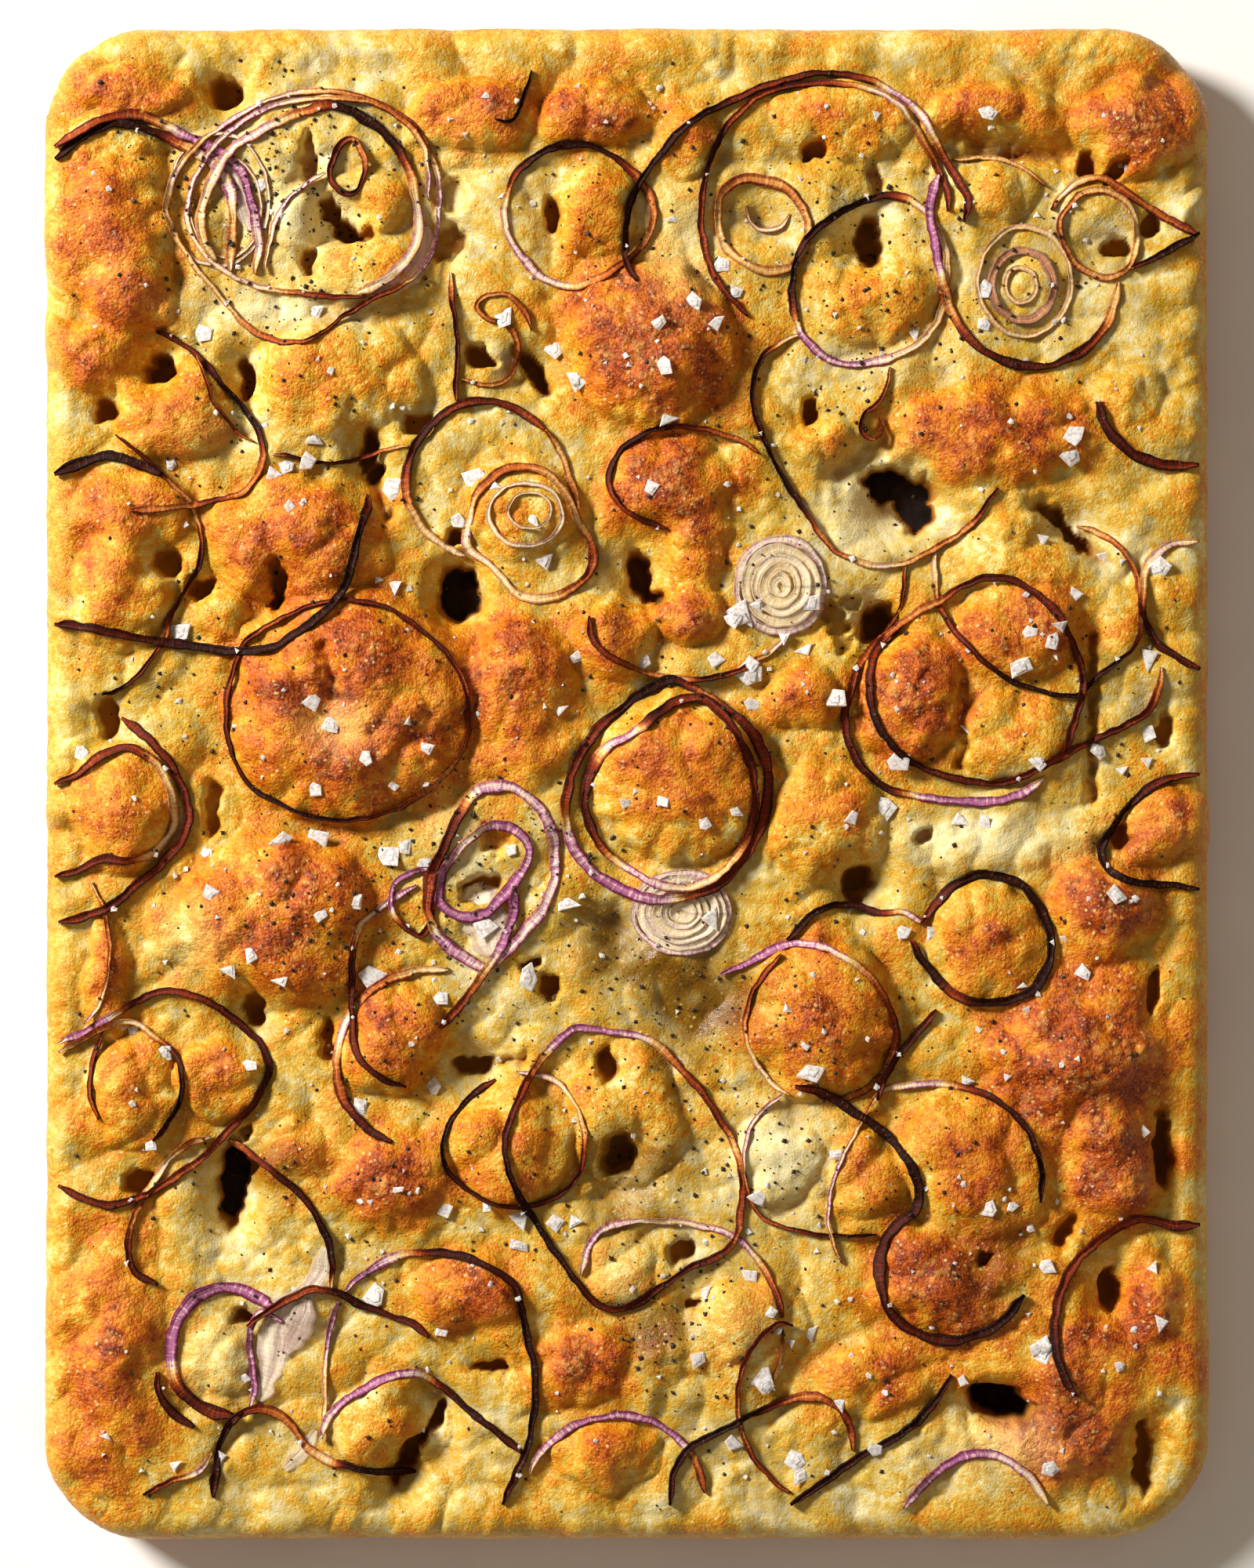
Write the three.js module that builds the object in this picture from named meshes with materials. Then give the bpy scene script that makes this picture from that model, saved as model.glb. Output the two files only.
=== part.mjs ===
import * as THREE from 'three';

// Focaccia: one tray-baked bread, with red onion rings and salt flakes lying loose on its top.
// Millimetres, +Z up, origin at the middle of the flat underside, long side along Y.

// Bread
const LOAF_WIDTH = 300;
const LOAF_LENGTH = 390;
const DOUGH_HEIGHT = 23.5; // top of the dough where no bubble lifts it
const CORNER_RADIUS = 27;
const BUBBLE_MAX_RISE = 9.5;
const BUBBLE_RISE_PER_RADIUS = 0.3;
const BUBBLE_RISE_PER_BAKE = 3; // browner bubbles are the ones that stood higher in the oven
const BUBBLE_FOOT = 1.18; // a bubble meets the dough at this many of its own radii
const CELL = 7; // spacing of the top's grid

// The crust's edge, from the top inward rim down to the underside: inset from the outline, and
// either how far it lies under the top or how high it stands over the underside.
const RIM_INSET = 7;
const EDGE_BANDS = [
  { inset: 2.8, under: 2.6 },
  { inset: 0.6, under: 7.5 },
  { inset: 0, over: 9 },
  { inset: 2.4, over: 0 },
];
const BASE_FLAT = 0.8; // share of the underside that is one flat rectangle

// Toppings
const ONION_THICKNESS = 1.4;
const ONION_STEP = 7.5; // length of one straight stretch of an onion ring
const ONION_MIN_STEPS = 12;
const SALT_THICKNESS = 1.2;
const SALT_SIDES = 5;
const REST_GAP = 0.4; // clearance between a topping and what it rests on
const CLEARANCE = 1; // sideways clearance kept around a topping
const MAP_STEP = 0.5; // spacing of the height map that the toppings are laid on

// Places below are for a 300 x 390 bread and spread with its real width and length.
const SPREAD_X = LOAF_WIDTH / 300;
const SPREAD_Y = LOAF_LENGTH / 390;

// Bubbles in the crust: x, y, radius along x, radius along y, bake from 0 (pale) to 1 (dark).
const BUBBLES = [
  [-134, 158, 14, 12, 0.35], [-132, 140, 14, 18, 0.75], [-128, 124, 12, 8, 0.85], [-116, 97, 14, 12, 0.55],
  [-136, 110, 10, 8, 0.6], [-75, 104, 22, 13, 0.7], [-92, 162, 8, 6, 0], [-85, 145, 7, 7, 0],
  [-67, 133, 12, 8, 0.3], [-66, 150, 9, 8, 0.15], [-128, 178, 14, 6, 0.6], [-40, 172, 14, 8, 0.5],
  [-8, 172, 14, 8, 0.65], [-8, 147, 9, 11, 0.6], [7, 112, 20, 19, 0.95], [15, 165, 8, 8, 0.55],
  [55, 170, 16, 9, 0.6], [62, 125, 15, 10, 0.25], [112, 172, 35, 8, 0.7], [94, 153, 11, 7, 0.2],
  [95, 90, 24, 11, 0.65], [128, 100, 9, 8, 0.5], [50, 88, 7, 8, 0.35], [-128, 70, 13, 9, 0.5],
  [-85, 62, 20, 14, 0.7], [-130, 50, 12, 14, 0.55], [-104, 43, 7, 6, 0.25], [-71, 20, 28, 26, 0.8],
  [-28, 27, 14, 14, 0.75], [-130, -5, 12, 14, 0.5], [10, 78, 14, 11, 0.75], [19, 63, 7, 12, 0.75],
  [15, 44, 9, 7, 0.7], [-3, 38, 9, 9, 0.75], [14, 2, 19, 19, 0.55], [-27, 70, 12, 12, 0.3],
  [74, 22, 12, 15, 0.9], [100, 38, 15, 12, 0.6], [98, 12, 13, 10, 0.5], [103, 60, 14, 9, 0.4],
  [127, 41, 6, 9, 0.35], [45, 22, 9, 8, 0.6], [52, -10, 13, 14, 0.6], [137, -10, 8, 9, 0.75],
  [122, -32, 13, 12, 0.85], [92, -40, 13, 14, 0.5], [90, -16, 20, 6, 0], [-90, -35, 22, 20, 0.7],
  [-113, -37, 10, 8, 0.15], [-134, -50, 6, 14, 0.5], [-126, -79, 10, 13, 0.6], [-104, -75, 10, 10, 0.6],
  [-60, -65, 12, 12, 0.6], [-60, -100, 13, 11, 0.75], [-30, -93, 14, 14, 0.45], [0, -85, 13, 17, 0.25],
  [-2, -125, 7, 9, 0.2], [-40, -130, 15, 9, 0.65], [-105, -147, 9, 10, 0.15], [-62, -165, 14, 11, 0.4],
  [-12, -148, 12, 9, 0.7], [-5, -172, 12, 8, 0.45], [-130, -145, 11, 28, 0.75], [-85, -95, 8, 9, 0.1],
  [50, -60, 17, 18, 0.75], [38, -96, 10, 10, 0], [62, -100, 9, 10, 0.5], [90, -98, 17, 18, 0.6],
  [76, -127, 12, 13, 0.75], [115, -70, 20, 14, 0.9], [125, -97, 12, 12, 0.8], [118, -145, 10, 12, 0.5],
  [135, -135, 9, 12, 0.6], [110, -165, 14, 10, 0.85], [65, -153, 14, 8, 0.6], [30, -140, 14, 12, 0.2],
];

// Finger dimples and torn holes: x, y, radius along x, radius along y, depth.
const DIMPLES = [
  [70, 73, 9, 8, 14], [-43.5, 49.5, 7, 8, 12], [-102, -105, 6, 11, 11], [96, -159, 9, 6, 10],
  [-50, -164, 6, 10, 9], [-58, -177, 6, 8, 9], [-73, 146, 7, 7, 8], [62, 140, 6, 8, 8],
  [60, -26, 7, 7, 9], [65, 41, 7, 7, 9], [114, 65, 9, 6, 7], [-104, 178, 6, 6, 7],
  [-120, 107, 7, 6, 8], [-98, 104, 5, 7, 7], [-66, 83, 5, 9, 6], [-90, 51, 5, 8, 4],
  [-24, 107, 8, 6, 6], [3, 52, 6, 9, 7], [-2, -97, 8, 9, 6], [-40, -73, 9, 6, 6],
  [-96, -58, 6, 8, 6], [138, -94, 5, 12, 6], [133, -173, 6, 11, 6], [18, -56, 10, 11, 4],
  [-3, -37, 7, 9, 5], [35, 146, 9, 8, 4], [100, 163, 20, 5, 4], [124, -130, 6, 8, 6],
];

// Onion slices cut across the heart: x, y, radii of the outer ring, radii of the inner one.
const ONION_SLICES = [
  { name: 'onion_slice_upper', centre: [39.5, 51], outer: [11, 11.5], inner: [4.5, 4.5], width: 2.4 },
  { name: 'onion_slice_lower', centre: [14, -33], outer: [10.8, 9.6], inner: [4.4, 3.6], width: 2.4 },
];

// Separated onion rings: band width, whether the ring is still whole, and its course over the
// bread, in the order that they lie on each other.
const ONION_RINGS = [
  { width: 2.2, course: [[-145, -66], [-133, -60], [-120, -53], [-105, -57], [-94, -67], [-93, -78],
    [-103, -89], [-114, -99], [-127, -107], [-140, -106]] },
  { width: 1.7, course: [[-145, -69], [-134, -62], [-122, -64], [-114, -74], [-117, -86], [-122, -92]] },
  { width: 2.6, course: [[-130, 17], [-119, 8], [-113, -6], [-119, -20], [-132, -31], [-145, -35]] },
  { width: 2.4, course: [[-145, 1], [-136, 6], [-125, 8], [-117, -2], [-118, -14], [-129, -20],
    [-145, -23]] },
  { width: 1.5, whole: true, course: [[-98, 36], [-85, 44], [-70, 47], [-53, 39], [-42, 26], [-41, 11],
    [-51, -1], [-66, -8], [-82, -8], [-95, -2], [-102, 10], [-102, 27]] },
  { width: 3.2, course: [[-145, 80], [-133, 84], [-119, 80]] },
  { width: 1.9, course: [[-127, 70], [-112, 71], [-99, 75], [-93, 85], [-98, 96], [-106, 105],
    [-121, 116]] },
  { width: 2.8, course: [[-145, 41], [-132, 39], [-110, 35], [-92, 35], [-80, 42], [-72, 51],
    [-67, 73]] },
  { width: 2.0, course: [[-12, -126], [-5, -114], [8, -112], [25, -115], [34, -123], [40, -136]] },
  { width: 2.2, course: [[-25, -177], [-18, -168], [-7, -163], [7, -164], [17, -173], [20, -182]] },
  { width: 2.2, course: [[11, -185], [15, -171], [26, -165], [40, -158], [53, -159], [58, -171]] },
  { width: 2.5, course: [[42, -185], [60, -172], [75, -163], [83, -151]] },
  { width: 1.6, course: [[-34, -76], [-45, -86], [-46, -99], [-33, -107], [-19, -106], [-11, -95],
    [-14, -80], [-28, -74]] },
  { width: 2.2, whole: true, course: [[-13, -63], [3, -65], [14, -73], [27, -93], [29, -109], [23, -121],
    [4, -132], [-7, -134], [-18, -120], [-29, -103], [-30, -88], [-22, -71]] },
  { width: 2.2, course: [[24, -49], [38, -42], [54, -43], [66, -55], [68, -69], [60, -79], [53, -82]] },
  { width: 2.9, whole: true, course: [[75, -36], [86, -25], [100, -25], [109, -38], [104, -52], [90, -56],
    [80, -50], [73, -41]] },
  { width: 3.1, course: [[43, -77], [55, -82], [68, -91], [75, -104], [66, -117], [65, -130], [74, -140],
    [90, -141], [101, -130]] },
  { width: 2.8, course: [[145, -113], [133, -111], [121, -117], [111, -130], [109, -145], [114, -156]] },
  { width: 2.4, course: [[145, 2], [132, -2], [123, -14], [125, -23], [145, -27]] },
  { width: 1.6, course: [[79, 60], [80, 45], [91, 32], [107, 24], [120, 27], [131, 37], [130, 56],
    [116, 67]] },
  { width: 2.4, course: [[71, 41], [60, 31], [56, 16], [61, 3], [75, -3], [94, -4], [107, 2]] },
  { width: 2.2, course: [[112, 8], [117, 25], [111, 41], [100, 51], [86, 51], [72, 42], [62, 27],
    [66, 12], [79, 3], [97, 0], [120, 11], [134, 19]] },
  { width: 2.0, course: [[62, -83], [72, -77], [87, -78], [100, -85], [106, -99], [106, -107]] },
  { width: 2.4, course: [[145, 62], [134, 57], [132, 43], [145, 30]] },
  { width: 3.2, course: [[120, 98], [127, 86], [145, 82]] },
  { width: 1.7, course: [[45, 115], [35, 110], [32, 99], [36, 86], [45, 71], [53, 60], [67, 56],
    [80, 61], [95, 76]] },
  { width: 1.6, course: [[10, 65], [-1, 70], [-4, 80], [4, 89], [19, 91], [34, 85]] },
  { width: 2.5, whole: true, course: [[-41, 61], [-38, 75], [-26, 81], [-15, 73], [-9, 60], [-14, 50],
    [-28, 49]] },
  { width: 2.6, course: [[-21, 91], [-36, 98], [-51, 91], [-57, 76], [-49, 62], [-42, 58]] },
  { width: 2.2, whole: true, course: [[-31, 148], [-25, 160], [-11, 164], [1, 157], [7, 145], [-1, 133],
    [-16, 128], [-28, 136]] },
  { width: 3.0, course: [[-102, 131], [-101, 145], [-104, 156], [-115, 164], [-130, 169], [-144, 162]] },
  { width: 1.5, whole: true, course: [[-118, 148], [-111, 163], [-96, 174], [-77, 178], [-59, 172],
    [-49, 158], [-49, 139], [-58, 127], [-78, 115], [-90, 114], [-102, 122], [-113, 136]] },
  { width: 3.0, course: [[-106, 134], [-109, 148], [-102, 161], [-84, 172], [-66, 170], [-55, 154],
    [-54, 140], [-69, 125]] },
  { width: 2.6, whole: true, course: [[23, 147], [31, 155], [43, 151], [46, 138], [36, 132], [25, 139]] },
  { width: 1.9, course: [[31, 120], [20, 137], [21, 159], [35, 177], [54, 179], [69, 174], [80, 157],
    [82, 147]] },
  { width: 2.2, course: [[2, 128], [0, 140], [4, 155], [14, 167], [29, 176], [50, 182], [74, 173],
    [85, 155], [86, 144]] },
  { width: 2.2, whole: true, course: [[43, 129], [48, 142], [60, 150], [74, 149], [82, 135], [80, 120],
    [64, 108], [45, 115]] },
  { width: 2.7, course: [[80, 156], [78, 145], [81, 127], [90, 112], [103, 107], [117, 111],
    [126, 129]] },
  { width: 1.9, whole: true, course: [[111, 143], [119, 152], [130, 147], [129, 134], [119, 131]] },
  { width: 2.5, course: [[130, 132], [145, 140]] },
  { width: 2.0, course: [[-54, -26], [-66, -34], [-70, -45], [-70, -67], [-56, -77]] },
  { width: 3.1, whole: true, course: [[-38, -2], [-25, -3], [-19, -14], [-20, -29], [-30, -42],
    [-42, -44], [-51, -33], [-47, -17]] },
  { width: 2.9, whole: true, course: [[-33, -10], [-25, -16], [-31, -28], [-42, -34], [-48, -24]] },
  { width: 3.0, whole: true, course: [[12, 27], [-7, 15], [-15, 1], [-15, -14], [-5, -25], [10, -30],
    [25, -24], [35, -10], [35, 6], [26, 19]] },
  { width: 2.8, whole: true, course: [[19, 22], [2, 13], [-10, 0], [-10, -10], [0, -22], [14, -26],
    [28, -19], [33, -4], [29, 12]] },
  { width: 3.6, course: [[-90, -134], [-102, -129], [-113, -134], [-117, -146], [-112, -158],
    [-101, -162]] },
  { width: 2.3, course: [[-72, -130], [-63, -123], [-50, -120], [-35, -124], [-27, -134], [-24, -150],
    [-25, -170], [-32, -185]] },
  { width: 2.4, course: [[-79, -168], [-71, -157], [-53, -152], [-42, -160], [-27, -172]] },
  { width: 2.3, course: [[-97, -139], [-86, -132], [-68, -134], [-50, -142]] },
  { width: 2.5, course: [[-106, -183], [-104, -168], [-95, -160], [-85, -166], [-71, -175],
    [-54, -178]] },
];

// The largest salt flakes: x, y, distance across, turn in degrees.
const SALT_FLAKES = [
  [29, 44, 8, 20],
  [34, -152.5, 7, 65],
  [31.5, 29, 7, 5],
  [106.5, -145, 6.5, 40],
  [-13, 103.5, 6, 80],
];

const BREAD_FINISH = { color: 0xd9a03c, roughness: 0.55, metalness: 0 };
const ONION_FINISH = { color: 0x8e4a5c, roughness: 0.4, metalness: 0 };
const SALT_FINISH = { color: 0xedebea, roughness: 0.25, metalness: 0 };

const focaccia = new THREE.Group();

function addPiece(name, vertices, faces, finish) {
  const geometry = new THREE.BufferGeometry();
  geometry.setAttribute('position', new THREE.Float32BufferAttribute(vertices.flat(), 3));
  geometry.setIndex(faces.flat());
  geometry.computeVertexNormals();
  const mesh = new THREE.Mesh(geometry, new THREE.MeshStandardMaterial(finish));
  mesh.name = name;
  focaccia.add(mesh);
}

// ---- Bread ----

function bubbleRise(x, y) {
  let sum = 0;
  for (const [cx, cy, rx, ry, bake] of BUBBLES) {
    const across = (x / SPREAD_X - cx) / (rx * BUBBLE_FOOT);
    const along = (y / SPREAD_Y - cy) / (ry * BUBBLE_FOOT);
    const r2 = across ** 2 + along ** 2;
    if (r2 >= 1) continue;
    const full = BUBBLE_RISE_PER_RADIUS * Math.min(rx, ry) + BUBBLE_RISE_PER_BAKE * bake;
    sum += (Math.min(full, BUBBLE_MAX_RISE) * (1 - r2) ** 0.8) ** 3;
  }
  return Math.cbrt(sum);
}

function dimpleDepth(x, y) {
  let deepest = 0;
  for (const [cx, cy, rx, ry, depth] of DIMPLES) {
    const r2 = ((x / SPREAD_X - cx) / rx) ** 2 + ((y / SPREAD_Y - cy) / ry) ** 2;
    deepest = Math.max(deepest, depth * Math.exp(-0.8 * r2));
  }
  return deepest;
}

function topHeight(x, y) {
  return DOUGH_HEIGHT + bubbleRise(x, y) - dimpleDepth(x, y);
}

// A point of the rounded outline, drawn in by inset; u and v run from -1 to 1 across it.
function outlinePoint(u, v, inset) {
  const halfX = LOAF_WIDTH / 2 - inset;
  const halfY = LOAF_LENGTH / 2 - inset;
  const radius = CORNER_RADIUS - inset;
  const x = Math.abs(u) * halfX;
  const y = Math.abs(v) * halfY;
  const a = Math.max(0, x - (halfX - radius));
  const b = Math.max(0, y - (halfY - radius));
  const roundX = a * (Math.sqrt(1 - b ** 2 / (2 * radius ** 2)) - 1);
  const roundY = b * (Math.sqrt(1 - a ** 2 / (2 * radius ** 2)) - 1);
  return [Math.sign(u) * (x + roundX), Math.sign(v) * (y + roundY)];
}

function buildBread() {
  const columns = Math.round(LOAF_WIDTH / CELL);
  const rows = Math.round(LOAF_LENGTH / CELL);
  const vertices = [];
  const faces = [];

  // Top
  for (let j = 0; j <= rows; j += 1) {
    for (let i = 0; i <= columns; i += 1) {
      const [x, y] = outlinePoint((2 * i) / columns - 1, (2 * j) / rows - 1, RIM_INSET);
      vertices.push([x, y, topHeight(x, y)]);
    }
  }
  const at = (i, j) => j * (columns + 1) + i;
  for (let j = 0; j < rows; j += 1) {
    for (let i = 0; i < columns; i += 1) {
      faces.push([at(i, j), at(i + 1, j), at(i + 1, j + 1)]);
      faces.push([at(i, j), at(i + 1, j + 1), at(i, j + 1)]);
    }
  }

  // Edge, in bands from the rim down, each one loop of points counter-clockwise
  const border = [];
  for (let i = 0; i < columns; i += 1) border.push([i, 0]);
  for (let j = 0; j < rows; j += 1) border.push([columns, j]);
  for (let i = columns; i > 0; i -= 1) border.push([i, rows]);
  for (let j = rows; j > 0; j -= 1) border.push([0, j]);
  let upper = border.map(([i, j]) => at(i, j));
  for (const band of EDGE_BANDS) {
    const lower = border.map(([i, j]) => {
      const [x, y] = outlinePoint((2 * i) / columns - 1, (2 * j) / rows - 1, band.inset);
      const z = band.under === undefined ? band.over : vertices[at(i, j)][2] - band.under;
      return vertices.push([x, y, z]) - 1;
    });
    for (let k = 0; k < border.length; k += 1) {
      const next = (k + 1) % border.length;
      faces.push([upper[k], lower[k], lower[next]]);
      faces.push([upper[k], lower[next], upper[next]]);
    }
    upper = lower;
  }

  // Underside: one flat rectangle in a frame that reaches the edge
  const flatX = (LOAF_WIDTH / 2) * BASE_FLAT;
  const flatY = (LOAF_LENGTH / 2) * BASE_FLAT;
  const corners = [[-flatX, -flatY], [flatX, -flatY], [flatX, flatY], [-flatX, flatY]];
  const flat = corners.map(([x, y]) => vertices.push([x, y, 0]) - 1);
  faces.push([flat[0], flat[2], flat[1]]);
  faces.push([flat[0], flat[3], flat[2]]);
  const contour = upper.map((k) => new THREE.Vector2(vertices[k][0], vertices[k][1]));
  const hole = [...corners].reverse().map(([x, y]) => new THREE.Vector2(x, y));
  const ring = [...upper, ...[...flat].reverse()];
  for (const [a, b, c] of THREE.ShapeUtils.triangulateShape(contour, [hole])) {
    faces.push([ring[a], ring[c], ring[b]]);
  }
  addPiece('bread', vertices, faces, BREAD_FINISH);
  return { vertices, faces };
}

// ---- Height map that the toppings are laid on ----

const mapColumns = Math.round(LOAF_WIDTH / MAP_STEP) + 1;
const mapRows = Math.round(LOAF_LENGTH / MAP_STEP) + 1;
const heightMap = new Float32Array(mapColumns * mapRows);

function forMapPoints(minX, maxX, minY, maxY, visit) {
  const firstI = Math.max(0, Math.ceil((minX + LOAF_WIDTH / 2) / MAP_STEP));
  const lastI = Math.min(mapColumns - 1, Math.floor((maxX + LOAF_WIDTH / 2) / MAP_STEP));
  const firstJ = Math.max(0, Math.ceil((minY + LOAF_LENGTH / 2) / MAP_STEP));
  const lastJ = Math.min(mapRows - 1, Math.floor((maxY + LOAF_LENGTH / 2) / MAP_STEP));
  for (let j = firstJ; j <= lastJ; j += 1) {
    for (let i = firstI; i <= lastI; i += 1) {
      const x = i * MAP_STEP - LOAF_WIDTH / 2;
      const y = j * MAP_STEP - LOAF_LENGTH / 2;
      visit(x, y, j * mapColumns + i);
    }
  }
}

function mapBread({ vertices, faces }) {
  for (const [a, b, c] of faces.map((face) => face.map((k) => vertices[k]))) {
    const area = (b[0] - a[0]) * (c[1] - a[1]) - (b[1] - a[1]) * (c[0] - a[0]);
    if (area < 1e-6) continue;
    const xs = [a[0], b[0], c[0]];
    const ys = [a[1], b[1], c[1]];
    forMapPoints(Math.min(...xs), Math.max(...xs), Math.min(...ys), Math.max(...ys), (x, y, k) => {
      const s = ((x - a[0]) * (c[1] - a[1]) - (y - a[1]) * (c[0] - a[0])) / area;
      const t = ((b[0] - a[0]) * (y - a[1]) - (b[1] - a[1]) * (x - a[0])) / area;
      if (s < -1e-6 || t < -1e-6 || s + t > 1 + 1e-6) return;
      const z = a[2] + s * (b[2] - a[2]) + t * (c[2] - a[2]);
      heightMap[k] = Math.max(heightMap[k], z);
    });
  }
}

function distanceToStretch(x, y, [ax, ay], [bx, by]) {
  const length2 = (bx - ax) ** 2 + (by - ay) ** 2;
  const share = ((x - ax) * (bx - ax) + (y - ay) * (by - ay)) / length2;
  const t = Math.min(1, Math.max(0, share));
  return Math.hypot(x - ax - t * (bx - ax), y - ay - t * (by - ay));
}

function forStretch(from, to, reach, visit) {
  const minX = Math.min(from[0], to[0]) - reach;
  const maxX = Math.max(from[0], to[0]) + reach;
  const minY = Math.min(from[1], to[1]) - reach;
  const maxY = Math.max(from[1], to[1]) + reach;
  forMapPoints(minX, maxX, minY, maxY, (x, y, k) => {
    if (distanceToStretch(x, y, from, to) <= reach) visit(k);
  });
}

function highestUnder(from, to, reach) {
  let highest = 0;
  forStretch(from, to, reach, (k) => {
    highest = Math.max(highest, heightMap[k]);
  });
  return highest;
}

function raiseMap(from, to, reach, z) {
  forStretch(from, to, reach, (k) => {
    heightMap[k] = Math.max(heightMap[k], z);
  });
}

// ---- Toppings ----

// An onion band laid along a course. Each of its cross-sections rests on the highest point
// under the two stretches that meet there, so no stretch dips into what it crosses.
function layOnion(name, width, course, whole) {
  const reach = width / 2 + CLEARANCE;
  const stretches = course.length - (whole ? 0 : 1);
  const rests = [];
  for (let k = 0; k < stretches; k += 1) {
    rests.push(highestUnder(course[k], course[(k + 1) % course.length], reach));
  }
  const vertices = [];
  course.forEach(([x, y], k) => {
    const before = whole ? (k + course.length - 1) % course.length : Math.max(0, k - 1);
    const after = whole ? (k + 1) % course.length : Math.min(course.length - 1, k + 1);
    const along = new THREE.Vector2(...course[after]).sub(new THREE.Vector2(...course[before]));
    along.normalize();
    const side = [(-along.y * width) / 2, (along.x * width) / 2];
    const low = Math.max(rests[before], rests[Math.min(k, stretches - 1)]) + REST_GAP;
    const high = low + ONION_THICKNESS;
    vertices.push([x + side[0], y + side[1], low], [x - side[0], y - side[1], low]);
    vertices.push([x - side[0], y - side[1], high], [x + side[0], y + side[1], high]);
  });
  const faces = [];
  for (let k = 0; k < stretches; k += 1) {
    const next = ((k + 1) % course.length) * 4;
    for (let edge = 0; edge < 4; edge += 1) {
      const a = k * 4 + edge;
      const b = k * 4 + ((edge + 1) % 4);
      faces.push([a, next + ((edge + 1) % 4), b]);
      faces.push([a, next + edge, next + ((edge + 1) % 4)]);
    }
    const top = Math.max(vertices[k * 4 + 2][2], vertices[next + 2][2]);
    raiseMap(course[k], course[(k + 1) % course.length], reach, top);
  }
  if (!whole) {
    const last = (course.length - 1) * 4;
    faces.push([0, 1, 2], [0, 2, 3], [last, last + 2, last + 1], [last, last + 3, last + 2]);
  }
  addPiece(name, vertices, faces, ONION_FINISH);
}

function smoothCourse(points, whole) {
  const knots = points.map(([x, y]) => new THREE.Vector3(x * SPREAD_X, y * SPREAD_Y, 0));
  const curve = new THREE.CatmullRomCurve3(knots, whole, 'centripetal');
  const steps = Math.max(ONION_MIN_STEPS, Math.round(curve.getLength() / ONION_STEP));
  const course = curve.getSpacedPoints(steps).map((p) => [p.x, p.y]);
  return whole ? course.slice(0, -1) : course;
}

function layOnionSlice({ name, centre, outer, inner, width }) {
  const rings = { outer, inner };
  for (const part of Object.keys(rings)) {
    const points = [];
    for (let k = 0; k < 8; k += 1) {
      const angle = (k * Math.PI) / 4;
      points.push([
        centre[0] + rings[part][0] * Math.cos(angle),
        centre[1] + rings[part][1] * Math.sin(angle),
      ]);
    }
    layOnion(`${name}_${part}`, width, smoothCourse(points, true), true);
  }
}

function laySaltFlake(name, [x, y, across, turn]) {
  const centre = [x * SPREAD_X, y * SPREAD_Y];
  const reach = across / 2 + CLEARANCE;
  const low = highestUnder(centre, [centre[0] + MAP_STEP, centre[1]], reach) + REST_GAP;
  const vertices = [];
  for (const z of [low, low + SALT_THICKNESS]) {
    for (let k = 0; k < SALT_SIDES; k += 1) {
      const angle = THREE.MathUtils.degToRad(turn) + (k * 2 * Math.PI) / SALT_SIDES;
      vertices.push([
        centre[0] + (across / 2) * Math.cos(angle),
        centre[1] + (across / 2) * Math.sin(angle),
        z,
      ]);
    }
  }
  const faces = [];
  for (let k = 0; k < SALT_SIDES; k += 1) {
    const next = (k + 1) % SALT_SIDES;
    faces.push([k, next, next + SALT_SIDES], [k, next + SALT_SIDES, k + SALT_SIDES]);
    if (k > 0 && k < SALT_SIDES - 1) {
      faces.push([0, k + 1, k], [SALT_SIDES, SALT_SIDES + k, SALT_SIDES + k + 1]);
    }
  }
  raiseMap(centre, [centre[0] + MAP_STEP, centre[1]], reach, low + SALT_THICKNESS);
  addPiece(name, vertices, faces, SALT_FINISH);
}

const twoDigits = (k) => String(k + 1).padStart(2, '0');

mapBread(buildBread());
ONION_SLICES.forEach(layOnionSlice);
ONION_RINGS.forEach(({ width, course, whole = false }, k) => {
  layOnion(`onion_ring_${twoDigits(k)}`, width, smoothCourse(course, whole), whole);
});
SALT_FLAKES.forEach((flake, k) => laySaltFlake(`salt_flake_${twoDigits(k)}`, flake));

export default focaccia;
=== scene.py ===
import math

import bpy
import numpy as np
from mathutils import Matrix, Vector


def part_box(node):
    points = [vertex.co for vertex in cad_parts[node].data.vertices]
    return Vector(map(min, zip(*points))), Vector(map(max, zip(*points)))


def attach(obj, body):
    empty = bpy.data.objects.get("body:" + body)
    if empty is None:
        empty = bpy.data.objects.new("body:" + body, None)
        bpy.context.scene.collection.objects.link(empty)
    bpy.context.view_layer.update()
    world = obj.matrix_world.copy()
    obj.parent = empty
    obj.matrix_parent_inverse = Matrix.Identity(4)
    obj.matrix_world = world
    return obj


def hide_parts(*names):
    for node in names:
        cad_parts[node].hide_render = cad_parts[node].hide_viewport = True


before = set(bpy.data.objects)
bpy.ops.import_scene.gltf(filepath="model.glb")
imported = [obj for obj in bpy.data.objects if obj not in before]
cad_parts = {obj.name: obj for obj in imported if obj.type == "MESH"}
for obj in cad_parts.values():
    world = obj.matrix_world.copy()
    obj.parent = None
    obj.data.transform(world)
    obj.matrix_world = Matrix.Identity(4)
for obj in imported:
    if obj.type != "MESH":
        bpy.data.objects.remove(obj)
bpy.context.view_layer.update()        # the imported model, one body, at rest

# Focaccia with roasted red onion rings, flaky salt and ground pepper, seen from straight above.
# Shapes are worked out in millimetres and written to the meshes in metres.

MM = 0.001

bread_low, bread_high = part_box("bread")
LOAF_WIDTH = (bread_high[0] - bread_low[0]) / MM
LOAF_LENGTH = (bread_high[1] - bread_low[1]) / MM

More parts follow.
